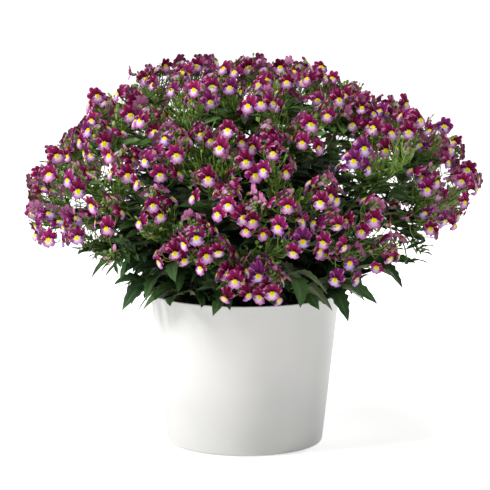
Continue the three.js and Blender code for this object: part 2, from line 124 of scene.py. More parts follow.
# %% Spread the racemes over the dome
def cover_at(azimuth):
    """How much of the dome is covered at an azimuth: less at the right."""
    return 1 - DOME_EDGE_RISE / DOME_EDGE * max(0, cos(azimuth))


def dome(polar, azimuth):
    angle = min(polar, DOME_EDGE * cover_at(azimuth))
    reach = DOME_HALF_WIDTH * sin(angle)
    height = DOME_CENTRE_HEIGHT + DOME_HALF_HEIGHT * cos(angle)
    return np.array([reach * cos(azimuth), reach * sin(azimuth), height])


def angles_of(point):
    """A point's angle from the dome's top, and its azimuth."""
    reach = hypot(point[0], point[1]) / DOME_HALF_WIDTH
    rise = (point[2] - DOME_CENTRE_HEIGHT) / DOME_HALF_HEIGHT
    return atan2(reach, rise), atan2(point[1], point[0])


def dome_normal(point):
    x, y, z = point
    rise = (z - DOME_CENTRE_HEIGHT) / DOME_HALF_HEIGHT**2
    return unit(np.array([x / DOME_HALF_WIDTH**2, y / DOME_HALF_WIDTH**2, rise]))


def even_polar_angles(count):
    """Angles from the top, at the middles of bands of equal area."""
    step = radians(0.25)
    polar = np.arange(step / 2, DOME_EDGE, step)
    slope = np.hypot(DOME_HALF_WIDTH * np.cos(polar), DOME_HALF_HEIGHT * np.sin(polar))
    areas = np.cumsum(slope * np.sin(polar))
    shares = (np.arange(count) + 0.5) / count
    return (np.searchsorted(areas, shares * areas[-1]) + 1) * step


def first_places():
    """Three racemes round the middle of each bunch."""
    for bunch, polar in enumerate(even_polar_angles(BUNCHES)):
        azimuth = bunch * GOLDEN_ANGLE
        middle = dome(polar * cover_at(azimuth), azimuth)
        across = np.array([-sin(azimuth), cos(azimuth), 0])
        downhill = np.cross(across, dome_normal(middle))
        for j in range(RACEMES_PER_BUNCH):
            turn = (j + draw(bunch, 1)) / RACEMES_PER_BUNCH * 2 * pi
            yield dome(*angles_of(middle + RACEME_SPREAD * swing(turn, across, downhill)))


def pushed_apart(points):
    """One round in which each pair that is too close moves apart, along the dome."""
    away = points[:, None] - points[None]
    distance = np.linalg.norm(away, axis=2)
    np.fill_diagonal(distance, RACEME_SPACING)
    push = np.maximum(RACEME_SPACING - distance, 0) / 4 / distance
    return np.array([dome(*angles_of(p)) for p in points + (away * push[..., None]).sum(1)])


surface_points = np.array(list(first_places()))
for _ in range(SPACING_ROUNDS):
    surface_points = pushed_apart(surface_points)
print(len(surface_points), "racemes, the highest at", surface_points[:, 2].max().round(4))


# %% Lay out the racemes and their bunches
def lay_out_raceme(index, surface):
    """Its axis leans outwards from upright, and its flowers stand round the point."""
    normal = dome_normal(surface)
    point = surface - normal * DOME_UNEVENNESS * draw(index, 2)
    axis = unit(UP + RACEME_LEAN * normal)
    right, outward, _ = frame_of(axis, point * (1, 1, 0))
    return {"index": index, "point": point, "normal": normal, "axis": axis,
            "outward": outward, "sideways": -right}


def lay_out_bunch(index, racemes):
    middle = np.mean([r["point"] for r in racemes], axis=0)
    axis = unit(np.sum([r["axis"] + r["normal"] for r in racemes], axis=0))
    return {"index": index, "racemes": racemes, "middle": middle, "axis": axis,
            "fork": middle - axis * BUNCH_DEPTH}


racemes = [lay_out_raceme(i, p) for i, p in enumerate(surface_points)]
bunches = [lay_out_bunch(i, racemes[3 * i : 3 * i + 3]) for i in range(BUNCHES)]
print(len(bunches), "bunches of", RACEMES_PER_BUNCH, "racemes")

# %% [markdown]
# ## Where the stems run
# Each stem rises from the potting mix, bends outwards and forks to the two bunches that it
# carries. Bezier curves need only the two ends and the directions there, which is all that
# the rule gives.

# %% Lay out the stems
CROWN_RADIUS = 0.060
FORK_PLACE = 0.55
FORK_RISE = 0.1
STEM_BEND = 0.55


def bezier(controls, t):
    """The point at t on a Bezier curve with any number of control points."""
    points = [np.asarray(c, float) for c in controls]
    while len(points) > 1:
        points = [a + (b - a) * t for a, b in zip(points, points[1:])]
    return points[0]


def tangent(controls, t):
    step = 1e-4
    return unit(bezier(controls, t + step) - bezier(controls, t - step))


def pair_bunches(free):
    """From the lowest bunch upwards, each with the nearest one that is still free."""
    free = list(free)
    while free:
        first = free.pop()
        second = min(free, key=lambda b: norm(b["middle"] - first["middle"]))
        free = [b for b in free if b is not second]
        yield first, second


def lay_out_stem(index, pair):
    polar, azimuth = angles_of(np.mean([b["middle"] for b in pair], axis=0))
    outward = level_way(azimuth)
    foot = outward * CROWN_RADIUS * polar / DOME_EDGE + UP * SOIL_TOP
    way = np.mean([b["fork"] for b in pair], axis=0) - foot
    fork = foot + way * FORK_PLACE + UP * FORK_RISE * norm(way)
    bend = foot + UP * STEM_BEND * norm(fork - foot)
    branches = []
    for bunch in pair:
        way = bunch["fork"] - fork
        arrive = bunch["fork"] - bunch["axis"] * norm(way) / 3
        branches.append([fork, fork + way / 3, arrive, bunch["fork"]])
    return {"index": index, "outward": outward, "main": [foot, bend, fork],
            "branches": branches}


stems = [lay_out_stem(i, pair) for i, pair in enumerate(pair_bunches(bunches))]
print(len(stems), "stems, the first from", stems[0]["main"][0].round(4))

# %% [markdown]
# ## Shader maths as plain expressions
# A finish is a formula over the surface. Written node by node it is hard to read, so one
# small class wraps a node's output and lets Python's own signs add the Math nodes. Every
# other node comes from one method that takes its type, its settings and its inputs.

# %% Expressions on node outputs
def sign(operation, other_first=False):
    """A method of Value that adds one Math node, so a + b becomes an Add node."""
    def method(self, *others):
        inputs = (*others, self) if other_first else (self, *others)
        return self.nodes.add("ShaderNodeMath", *inputs, operation=operation)
    return method


class Value:
    """An output of a node, for use in expressions."""

    def __init__(self, nodes, node, socket):
        self.nodes, self.node, self.socket = nodes, node, socket

    __add__ = __radd__ = sign("ADD")
    __mul__ = __rmul__ = sign("MULTIPLY")
    __sub__, __rsub__ = sign("SUBTRACT"), sign("SUBTRACT", other_first=True)
    __abs__, cosine = sign("ABSOLUTE"), sign("COSINE")

    def out(self, name):
        return Value(self.nodes, self.node, self.node.outputs[name])

    def clamped(self):
        return self.nodes.add("ShaderNodeMath", self, 0.0, operation="ADD", use_clamp=True)

    def smooth(self, low, high):
        """0 below low, 1 above high, and a soft step between."""
        return self.nodes.add("ShaderNodeMapRange", self, low, high,
                              interpolation_type="SMOOTHSTEP")


print("Beside its signs, a value knows", *[name for name in vars(Value) if name[0] != "_"])

# %% Every other node
class Nodes:
    """Adds nodes to one tree."""

    def __init__(self, tree):
        self.tree = tree

    def add(self, kind, *inputs, **named):
        """A node with its inputs in order. Settings are named in small letters, and are set
        first. A name with a capital is a socket's."""
        node = self.tree.nodes.new(kind)
        for name in filter(str.islower, named):
            setattr(node, name, named[name])
        sockets = [s for s in node.inputs if s.enabled]
        pairs = list(zip(sockets, inputs))
        pairs += [(s, named[s.identifier]) for s in sockets if s.identifier in named]
        for socket, value in pairs:
            self.feed(socket, value)
        outputs = [s for s in node.outputs if s.enabled]
        return Value(self, node, outputs[0] if outputs else None)

    def feed(self, socket, value):
        if isinstance(value, (Value, list)):
            for one in value if isinstance(value, list) else [value]:
                self.tree.links.new(one.socket, socket)
        elif value is not None:
            socket.default_value = value

    def mix(self, colour, *coats):
        """A colour under coats. A coat is a colour and its cover, and text is a screen tone."""
        for coat, cover in coats:
            a, b = [tone(c) if isinstance(c, str) else c for c in (colour, coat)]
            colour = self.add("ShaderNodeMix", cover, a, b, data_type="RGBA")
        return colour

    def vector(self, operation, *inputs, out="Vector"):
        return self.add("ShaderNodeVectorMath", *inputs, operation=operation).out(out)

    def spot(self):
        """Where a point lies, on the object's own coordinates."""
        return self.add("ShaderNodeTexCoord").out("Object")

    def attribute(self, name):
        """The three numbers of a vector attribute."""
        vector = self.add("ShaderNodeAttribute", attribute_name=name).out("Vector")
        xyz = self.add("ShaderNodeSeparateXYZ", vector)
        return [xyz.out(axis) for axis in "XYZ"]

    def noise(self, scale, detail=2.0):
        """Soft noise on the object's own coordinates, about 0.5."""
        return self.add("ShaderNodeTexNoise", self.spot(), scale, detail)

    def from_middle(self):
        """How far out a point lies: 0 at the dome's middle and 1 at the flowers."""
        middle = (0, 0, DOME_CENTRE_HEIGHT - 0.02)
        scale = (1 / DOME_HALF_WIDTH, 1 / DOME_HALF_WIDTH, 1 / DOME_HALF_HEIGHT)
        way = self.vector("MULTIPLY", self.vector("SUBTRACT", self.spot(), middle), scale)
        return self.vector("LENGTH", way, out="Value")

    def bump(self, height, distance, strength):
        return self.add("ShaderNodeBump", Strength=strength, Distance=distance, Height=height)


print("A tree's nodes are made by", *[name for name in vars(Nodes) if name[0] != "_"])

# %% Screen tones and new materials
def tone(code):
    """A colour as seen on screen, such as 7e1e4e, as the linear light that a shader takes."""
    shares = [int(code[i : i + 2], 16) / 255 for i in (0, 2, 4)]
    light = [s / 12.92 if s <= 0.04045 else ((s + 0.055) / 1.055) ** 2.4 for s in shares]
    return (*light, 1.0)


def new_material(name, **constants):
    """A material, its nodes and its shader's sockets. Constants go straight on sockets."""
    material = bpy.data.materials.new(name)
    material.use_nodes = True
    shader = material.node_tree.nodes["Principled BSDF"]
    for socket, value in constants.items():
        shader.inputs[socket.replace("_", " ")].default_value = value
    nodes = Nodes(material.node_tree)
    return material, nodes, lambda socket, value: nodes.feed(shader.inputs[socket], value)


print("The screen tone 7e1e4e is the light", [round(x, 3) for x in tone("7e1e4e")])

# %% [markdown]
# ## The colours of a flower
# The four upper lobes are wine red with dark streaks into the throat, and dusty pink behind.
# The lip is lilac at its margin and white beside the yellow palate, with a dark spot at each
# side. Every part of the flower carries its kind, and how far across and along it a point
# lies, so the pattern follows the petal however it is curled. Each flower has three numbers
# of its own for hue, age and shade.

# %% Petal material
LOBE, LOBE_BACK, LIP, LIP_BACK, PALATE, TUBE = range(6)
LEAF, LEAF_BACK, STALK, SEPAL, POD, BUD = range(10, 16)


def is_kind(nodes, *wanted):
    """1 where the surface is of one of the wanted kinds, and 0 elsewhere."""
    kind = nodes.add("ShaderNodeAttribute", attribute_name="kind").out("Fac")
    masks = [1 - abs(kind - one).clamped() for one in wanted]
    return sum(masks[1:], masks[0])


def by_kind(nodes, usual, paints):
    """The usual colour, with another paint on each of some kinds of surface."""
    return nodes.mix(usual, *[(paint, is_kind(nodes, kind)) for kind, paint in paints.items()])


def petal_material():
    material, nodes, feed = new_material("petal", Specular_IOR_Level=0.05)
    across, along, _ = nodes.attribute("skin")
    hue, age, shade = nodes.attribute("luck")
    grain = nodes.noise(900.0)
    side = abs(across)

    margin = (along * 0.6 + side * 0.5).smooth(0.55, 1.1)
    light = nodes.mix("b8487e", ("b052a2", age))
    streaks = (across * 14.0 + grain * 2.0).cosine().smooth(0.0, 0.9)
    throat = 1 - along.smooth(0.05, 0.62)
    dark = throat * 0.8 + (1 - side.smooth(0.0, 0.5)) * (1 - along.smooth(0.4, 0.9)) * 0.25
    lobe = nodes.mix("66082e", ("981c5c", hue.smooth(0.1, 0.9)),
                     ("72266c", age.smooth(0.55, 0.9) * 0.85),
                     (light, margin * (0.2 + 0.55 * shade)),
                     ("240419", (dark + streaks * throat * 0.2).clamped()))
    back = nodes.mix("b0528a", ("dc96c2", hue * 0.6 + along * 0.4))

    pale = 1 - (along * 0.85 + side * 0.55).smooth(0.4, 0.92)
    bluish = age.smooth(0.45, 0.95)
    edge = nodes.mix("ca70ba", ("a87cc6", bluish))
    middle = nodes.mix("f4e8f0", ("e4def4", bluish))
    veins = (across * 22.0).cosine().smooth(0.5, 1.0) * along.smooth(0.15, 0.5)
    blotch = 1 - (abs(side - 0.85) * 1.3 + abs(along - 0.28) * 1.5).smooth(0.1, 0.75)
    lip = nodes.mix(edge, (middle, (pale * (0.5 + 0.55 * shade)).clamped()),
                    ("a04c9c", veins * (0.15 + 0.25 * hue)),
                    ("6a1a6c", blotch * (0.55 + 0.45 * age)))
    lip_back = nodes.mix("b476ae", ("dcb4d4", shade))
    # Painted shade: the palate's middle strip, along the cleft between its humps, is a darker
    # yellow (dfbe16).
    yellow = nodes.mix("f8ea12", ("e6b41c", along.smooth(0.6, 1.0) * 0.8),
                       ("dfbe16", (1 - side.smooth(0.1, 0.4)) * 0.5),
                       ("d49c20", age.smooth(0.75, 1.0) * 0.3))
    tube = nodes.mix("c98ba4", ("e6d6c4", along))

    colour = by_kind(nodes, lobe, {LOBE_BACK: back, LIP: lip, LIP_BACK: lip_back,
                                   PALATE: yellow, TUBE: tube})
    feed("Base Color", nodes.mix(colour, ("1c0414", (1 - grain).smooth(0.5, 0.9) * 0.2)))
    feed("Roughness", 0.5 + 0.2 * grain)
    feed("Normal", nodes.bump(streaks * 0.4 + grain * 0.6, 0.0002, 0.5))
    return material


PETAL = petal_material()
print("The petal material has", len(PETAL.node_tree.nodes), "nodes")

# %% [markdown]
# ## The greens
# Leaves are dark green and a little glossy above, with three pale veins, and olive beneath.
# Stems and pods are lighter, and the stalks that carry open flowers turn russet. One material
# holds them all, told apart by the same kind number, so that a stem and its leaves are one
# surface as they are on the plant. Deep inside the dome and low over the pot, the greens are
# darkened with painted shade.

# %% Green material
def green_material():
    material, nodes, feed = new_material("green", Specular_IOR_Level=0.5)
    across, along, _ = nodes.attribute("skin")
    hue, age, ruddy = nodes.attribute("luck")
    mottle = nodes.noise(220.0, 3.0)
    side = abs(across)
    spot = nodes.spot()
    height = nodes.add("ShaderNodeSeparateXYZ", spot).out("Z")
    from_axis = nodes.vector("LENGTH", nodes.vector("MULTIPLY", spot, (1, 1, 0)), out="Value")

    rib = 1 - side.smooth(0.02, 0.12)
    veins = 1 - abs(side - 0.5 * (1 - along)).smooth(0.02, 0.09)
    high_blade = nodes.mix("2b541a", ("649a3a", hue))
    blade = nodes.mix("2a4e28", ("5c8a4c", hue), (high_blade, height.smooth(0.17, 0.26)),
                      ("56803a", age.smooth(0.7, 1.0) * 0.6),
                      ("7c9c68", (rib * 0.6 + veins * 0.3).clamped()))
    under = nodes.mix("45572a", ("64743f", hue), ("a3ad78", rib * 0.6))
    stalk = nodes.mix("568a2e", ("90b650", hue), ("a4603a", ruddy))
    pod = nodes.mix("5e8832", ("a4c65e", hue), ("7a5138", age.smooth(0.8, 1.0) * 0.5))
    bud = nodes.mix("5f8736", ("94b252", hue), ("a05a78", along.smooth(0.55, 1.0) * ruddy))

    colour = by_kind(nodes, blade, {LEAF_BACK: under, STALK: stalk, SEPAL: stalk, POD: pod,
                                    BUD: bud})
    colour = nodes.mix(colour, ("1d3014", mottle.smooth(0.45, 0.75) * 0.35))
    # Painted shade: greens low in the plant, above the pot and within the rim's reach, are
    # darkened towards near black 0d160b.
    painted_shade_under_plant = (1 - height.smooth(0.145, 0.185)) * (1 - from_axis.smooth(0.066, 0.09))
    # Painted shade: the deeper a green lies inside the dome, the more its colour gives way to near
    # black 0b1708.
    light = 0.14 + 0.86 * nodes.from_middle().smooth(0.54, 0.9)
    feed("Base Color", nodes.mix("0b1708", (colour, light), ("0d160b", painted_shade_under_plant * 0.8)))
    feed("Roughness", 0.34 + 0.25 * mottle + 0.2 * is_kind(nodes, LEAF_BACK))
    relief = mottle * 0.4 - (rib + veins * 0.5) * is_kind(nodes, LEAF, LEAF_BACK)
    feed("Normal", nodes.bump(relief, 0.0004, 0.6))
    return material


GREEN = green_material()
print("The green material has", len(GREEN.node_tree.nodes), "nodes")

# %% [markdown]
# ## Sheets: one way to make petals, leaves, buds and pods
# A petal is a thin closed sheet, a pod a thick one. Each is described by a function from
# across and along to a point in space. Its two faces meet in one row of points round the rim,
# so it is closed without a wall, and edges between unlike kinds are kept sharp.

# %% A closed sheet from a function
class Form:
    """Collects sheets and tubes for one small shape that is copied many times."""

    def __init__(self):
        self.points, self.faces, self.skin, self.kinds = [], [], [], []

    def sheet(self, surface, rows, columns, kinds, front, back=None):
        """surface(across, along) is the middle. front and back give its thickness."""
        back = back or front
        u, v = np.meshgrid(np.linspace(-1, 1, columns + 1), np.linspace(0, 1, rows + 1))
        middle, step = surface(u, v), 1e-4
        over = surface(u + step, v) - surface(u - step, v)
        on = surface(u, np.minimum(v + step, 1)) - surface(u, v - step)
        normal = np.cross(over, on)
        normal /= np.linalg.norm(normal, axis=2)[..., None] + 1e-12
        inner = np.zeros(u.shape, bool)
        inner[1:-1, 1:-1] = True
        first = len(self.points)
        top = first + np.arange(u.size).reshape(u.shape)
        self.points += list((middle + normal * (front(u, v) * inner)[..., None]).reshape(-1, 3))
        bottom = top.copy()
        bottom[inner] = first + u.size + np.arange(inner.sum())
        self.points += list((middle - normal * (back(u, v) * inner)[..., None])[inner])
        skin = np.stack([u, v, 0 * u], axis=2)
        self.skin += list(skin.reshape(-1, 3)) + list(skin[inner])
        for grid, kind, turned in ((top, kinds[0], False), (bottom, kinds[1], True)):
            corners = np.stack([grid[:-1, :-1], grid[:-1, 1:], grid[1:, 1:], grid[1:, :-1]])
            quads = corners.reshape(4, -1).T
            self.faces += [list(q[::-1] if turned else q) for q in quads.tolist()]
            self.kinds += [kind] * len(quads)

    def tube(self, centres, radii, kind, sides=5):
        """A closed tube along centres, which run down the flower's own z axis."""
        first = len(self.points)
        for i, (centre, radius) in enumerate(zip(centres, radii)):
            for k in range(sides):
                self.points.append(np.array(centre) + level_way(2 * pi * k / sides) * radius)
                self.skin.append(np.array([0, i / (len(radii) - 1), 0]))
        rings = first + np.arange(len(radii) * sides).reshape(-1, sides)
        for low, high in zip(rings, rings[1:]):
            for k in range(sides):
                n = (k + 1) % sides
                self.faces.append([int(low[k]), int(high[k]), int(high[n]), int(low[n])])
        self.faces += [[int(k) for k in rings[0]], [int(k) for k in rings[-1][::-1]]]
        self.kinds += [kind] * (len(self.faces) - len(self.kinds))

    def mesh(self, name):
        mesh = bpy.data.meshes.new(name)
        mesh.from_pydata([tuple(p) for p in self.points], [], self.faces)
        skin = mesh.attributes.new("skin", "FLOAT_VECTOR", "POINT")
        skin.data.foreach_set("vector", np.ravel(self.skin))
        kind = mesh.attributes.new("kind", "FLOAT", "FACE")
        kind.data.foreach_set("value", np.array(self.kinds, float))
        build = bmesh.new()
        build.from_mesh(mesh)
        layer = build.faces.layers.float["kind"]
        for edge in build.edges:
            edge.smooth = len({face[layer] for face in edge.link_faces}) < 2
        build.to_mesh(mesh)
        build.free()
        return mesh


print("A form collects", *vars(Form()))

# %% How thick a sheet is, and a first sheet
def flat(thickness):
    return lambda u, v: thickness / 2 + 0 * u


def dome_shaped(height):
    """The thickness of a rounded body: full in the middle and nothing at the rim."""
    return lambda u, v: height * np.sqrt(np.clip((1 - u**2) * np.sin(pi * v), 0, 1))


def place(right, up, forward):
    return np.stack(np.broadcast_arrays(right, up, forward), axis=-1)


tile = Form()
tile.sheet(lambda u, v: place(u, v, 0 * u), 2, 3, (LEAF, LEAF_BACK), flat(0.1))
print("A closed sheet of 2 by 3 has", len(tile.faces), "faces and", len(tile.points), "points")

# %% [markdown]
# ## The flowers
# A flower is about 16 mm wide: four rounded upper lobes in a fan, a broad notched lip that
# juts forward and then hangs, a two-humped palate that closes the throat, and a short tube
# behind, in a small green cup. No two are alike, so there are six: from one just opening,
# with its lobes still cupped, to an old one with its lobes folded back.

# %% The parts of a flower
HALF_WIDTH = 0.0082
LOBES = [  # for each lobe: its angle from the right, and its share of the length and width
    (25, 1.0, 0.39), (155, 1.0, 0.39), (70, 1.16, 0.34), (110, 1.16, 0.34),
]


def lobe(form, angle, length, width, lean, cup, curl):
    """An upper lobe: its angle is from the right, and it leans and curls backwards."""
    out = (cos(angle), sin(angle))

    def surface(u, v):
        spread = 0.34 + 0.66 * np.sin(pi / 2 * np.clip(v / 0.7, 0, 1))
        spread = spread - 0.24 * np.clip((v - 0.7) / 0.3, 0, 1.1) ** 2
        side = u * width * spread * (1 + 0.12 * (1 - u**2) * v)
        reach = 0.0010 + (length - 0.0010) * v - 0.42 * width * u**2 * v**4
        ruffle = 0.00022 * np.sin(6 * u + angle * 3) * v
        forward = -lean * reach - curl * length * v**3 - cup * width * u**2 * v + ruffle
        return place(reach * out[0] + side * out[1], reach * out[1] - side * out[0], forward)

    form.sheet(surface, 3, 4, (LOBE, LOBE_BACK), flat(0.0003))


def lip(form, length, width, droop):
    """The two-lobed lip flanks the palate, juts forward and then hangs."""
    def surface(u, v):
        spread = 0.58 + 0.42 * np.sin(pi / 2 * np.clip(v / 0.5, 0, 1))
        spread = spread - 0.24 * np.clip((v - 0.6) / 0.4, 0, 1.1) ** 2
        notch = 0.24 * np.exp(-((u / 0.26) ** 2)) + 0.5 * np.abs(u) ** 3.5
        reach = -0.0012 + (length + 0.0012) * (v - notch * v**4)
        forward = 0.0008 + length * (0.85 * v - droop * v**2) - 0.34 * width * u**2 * v
        return place(-u * width * spread, -reach, forward)

    form.sheet(surface, 4, 6, (LIP, LIP_BACK), flat(0.00035))


def palate(form):
    """Two yellow humps, more orange towards the top, which close the throat."""
    def surface(u, v):
        side = 0.0024 * u * (1 - 0.3 * (1 - v) ** 2 - 0.7 * np.clip(v - 0.4, 0, 1) ** 1.5)
        return place(side, -0.0021 + 0.0045 * v, 0.0021 - 0.0012 * v)

    def humps(u, v):
        cleft = 1 - 0.35 * np.exp(-((u / 0.3) ** 2))
        return dome_shaped(0.0023 * cleft)(u, v)

    form.sheet(surface, 3, 4, (PALATE, PALATE), humps, flat(0.0004))


def calyx(form, height):
    """The green cup at the stalk's end."""
    form.tube([(0, 0, height + 0.0022), (0, 0, height)], [0.0017, 0.0006], SEPAL)


print("A flower has", len(LOBES), "upper lobes and is", 2 * HALF_WIDTH, "m wide")

# %% Six flowers
def flower(number, open_lean, cup, curl, droop, size=1.0):
    form = Form()
    length = 1.06 * HALF_WIDTH * size
    for i, (angle, share, width) in enumerate(LOBES):
        angle += draw(number * 7 + i, 31, -5, 5)
        lean = open_lean + 0.08 * (i // 2)
        reach = length * share * draw(number * 7 + i, 32, 0.94, 1.04)
        lobe(form, radians(angle), reach, width * HALF_WIDTH * size, lean, cup, curl)
    lip(form, 0.84 * HALF_WIDTH * size, 0.72 * HALF_WIDTH * size, droop)
    palate(form)
    form.tube([(0, 0, 0.0004), (0, -0.0003, -0.002), (0, -0.0002, -0.0042)],
              [0.0019, 0.0013, 0.0007], TUBE, 4)
    calyx(form, -0.0044)
    return form


FLOWERS = [
    flower(0, open_lean=0.10, cup=0.35, curl=0.10, droop=0.60),
    flower(1, open_lean=0.22, cup=0.45, curl=0.18, droop=0.75),
    flower(2, open_lean=-0.10, cup=0.20, curl=0.05, droop=0.50),
    flower(3, open_lean=0.38, cup=0.50, curl=0.30, droop=0.80),
    flower(4, open_lean=0.00, cup=0.40, curl=0.22, droop=0.65),
    flower(5, open_lean=-0.35, cup=-0.30, curl=-0.05, droop=0.35, size=0.86),
]
print("Six flowers of", [len(f.faces) for f in FLOWERS], "faces")

# %% [markdown]
# ## Buds, pods and leaves
# In the middle of a raceme's open flowers sit tight green buds, and flat pods on thin stalks
# hang below them. Leaves come in opposite pairs. Low ones are broad, saw-toothed and droop,
# high ones are narrow. A leaf that would touch the pot takes a flatter shape, so each size of
# leaf comes with three droops.

# %% Bud, pod and leaf shapes
def ovoid(length, width, kinds, thickness, rows=3, columns=4):
    """A rounded body that stands on its base and points along y."""
    def surface(u, v):
        outline = np.sqrt(np.clip(np.sin(pi * (0.04 + 0.92 * v)), 0, 1))
        return place(u * width * outline, length * v, 0 * u)

    form = Form()
    form.sheet(surface, rows, columns, kinds, dome_shaped(thickness))
    return form


def coloured_bud():
    """A flower about to open: furled lobes, a pale lip folded under them, and its cup."""
    form = ovoid(0.0062, 0.0026, (LOBE_BACK, LIP_BACK), 0.0022, rows=4)
    lifted = Form()
    calyx(lifted, -0.0004)
    first = len(form.points)
    form.points += [np.array([p[0], p[2], -p[1]]) for p in lifted.points]
    form.skin += lifted.skin
    form.kinds += lifted.kinds
    form.faces += [[k + first for k in face] for face in lifted.faces]
    return form


def leaf(length, half_width, lift, droop, teeth=0.0, rows=6, columns=4, twist=0.0):
    def outline(v):
        v = np.clip(v, 0, 1)
        body = v**0.75 * (1 - v) ** 0.85 / 0.331
        return np.clip(body, 0.12 * (1 - v), None) + 0.004

    def surface(u, v):
        saw = 1 + teeth * np.cos(pi * rows * v) * (np.abs(u) > 0.9) * np.sin(pi * v)
        side = half_width * outline(v) * u * saw
        rise = length * v * (lift - droop * v) + 0.30 * np.abs(side)
        rise = rise + 0.0006 * np.sin(11 * v + 2 * u) * np.abs(u)
        roll = twist * v**2
        return place(side * np.cos(roll), length * v, rise + side * np.sin(roll))

    form = Form()
    form.sheet(surface, rows, columns, (LEAF, LEAF_BACK), flat(0.0004))
    return form


DROOPS = (1.0, 0.5, 0.1)
LEAVES = {
    "broad": {"length": 0.038, "half_width": 0.0080, "lift": 0.5, "droop": 0.95,
              "teeth": 0.16, "rows": 14, "twist": 0.5},
    "middle": {"length": 0.034, "half_width": 0.0062, "lift": 0.5, "droop": 0.7,
               "teeth": 0.16, "rows": 9, "twist": -0.5},
    "plain": {"length": 0.030, "half_width": 0.0052, "lift": 0.45, "droop": 0.55,
              "rows": 5, "columns": 2},
    "narrow": {"length": 0.024, "half_width": 0.0029, "lift": 0.4, "droop": 0.4,
               "rows": 6, "columns": 2},
}
COPIES = {f"flower_{i}": form for i, form in enumerate(FLOWERS)}
COPIES["bud_coloured"] = coloured_bud()
COPIES["bud_green"] = ovoid(0.0034, 0.0014, (BUD, BUD), 0.0013, columns=2)
COPIES["pod"] = ovoid(0.0040, 0.0015, (POD, POD), 0.0010, columns=2)
COPIES["bract"] = leaf(0.011, 0.0013, 0.3, 0.4, rows=3, columns=2)
for name, shape in LEAVES.items():
    for i, share in enumerate(DROOPS):
        COPIES[f"leaf_{name}_{i}"] = leaf(**{**shape, "droop": shape["droop"] * share})
NAMES = sorted(COPIES)
print(len(NAMES), "shapes to copy, with", sum(len(f.faces) for f in COPIES.values()), "faces")

# %% [markdown]
# ## Skeletons and the tree that dresses them
# A stem with its leaves, or a bunch with its flowers, is drawn first as a skeleton: lines
# where the stalks run, and a loose point wherever a leaf, pod, bud or flower goes. One
# Geometry Nodes tree turns any skeleton into the finished piece. It sweeps a section along
# each line: a square one for the stems, because nemesia stems are four-sided, and one of
# three sides for the thin stalks of the flowers. It sets a copy of the right shape on each
# loose point.

# %% The dressing tree
def new_tree(name, inputs):
    """A Geometry Nodes tree with named inputs, its nodes, and the node that gives them."""
    tree = bpy.data.node_groups.new(name, "GeometryNodeTree")
    for label, kind in {"Geometry": "Geometry", **inputs}.items():
        tree.interface.new_socket(label, in_out="INPUT", socket_type="NodeSocket" + kind)
    tree.interface.new_socket("Geometry", in_out="OUTPUT", socket_type="NodeSocketGeometry")
    nodes = Nodes(tree)
    return tree, nodes, nodes.add("NodeGroupInput")


def dressing_tree():
    tree, nodes, given = new_tree("dress a skeleton", {
        "Copies": "Collection", "Stalk Sides": "Int", "Green": "Material", "Petal": "Material"})

    def named(name, kind):
        return nodes.add("GeometryNodeInputNamedAttribute", name, data_type=kind)

    which = named("which", "INT")
    loose = nodes.add("FunctionNodeCompare", which, 0, data_type="INT",
                      operation="GREATER_EQUAL")
    shapes = nodes.add("GeometryNodeCollectionInfo", given.out("Copies"), True, True)
    turn = nodes.add("FunctionNodeEulerToRotation", named("turn", "FLOAT_VECTOR"))
    copies = nodes.add("GeometryNodeInstanceOnPoints", given.out("Geometry"), loose, shapes,
                       True, which, turn, named("size", "FLOAT_VECTOR"))
    copies = nodes.add("GeometryNodeRealizeInstances", copies)

    lines = nodes.add("GeometryNodeMeshToCurve", given.out("Geometry"))
    section = nodes.add("GeometryNodeCurvePrimitiveCircle", given.out("Stalk Sides"), 1.0)
    stalks = nodes.add("GeometryNodeCurveToMesh", lines, section, named("thickness", "FLOAT"),
                       True)
    stalks = nodes.add("GeometryNodeStoreNamedAttribute", stalks, None, "kind", float(STALK),
                       data_type="FLOAT", domain="FACE")

    whole = nodes.add("GeometryNodeJoinGeometry", [stalks, copies])
    whole = nodes.add("GeometryNodeRealizeInstances", whole)
    flowery = nodes.add("FunctionNodeCompare", named("kind", "FLOAT"), LEAF - 0.5,
                        data_type="FLOAT", operation="LESS_THAN")
    whole = nodes.add("GeometryNodeSetMaterial", whole, None, given.out("Green"))
    whole = nodes.add("GeometryNodeSetMaterial", whole, flowery, given.out("Petal"))
    nodes.add("NodeGroupOutput", whole)
    return tree


def hidden_shapes():
    """The shapes to copy, in a collection that takes no part in the scene."""
    shelf = bpy.data.collections.new("shapes to copy")
    for name in NAMES:
        shelf.objects.link(bpy.data.objects.new(name, COPIES[name].mesh(name)))
    return shelf


TREE = dressing_tree()
SHELF = hidden_shapes()

# %% [markdown]
# ## From a skeleton to a finished piece
# A modifier's inputs are set by their socket identifiers before Blender looks at the object.
# Its result is then taken out as a plain mesh, and the modifier and the helper attributes go.

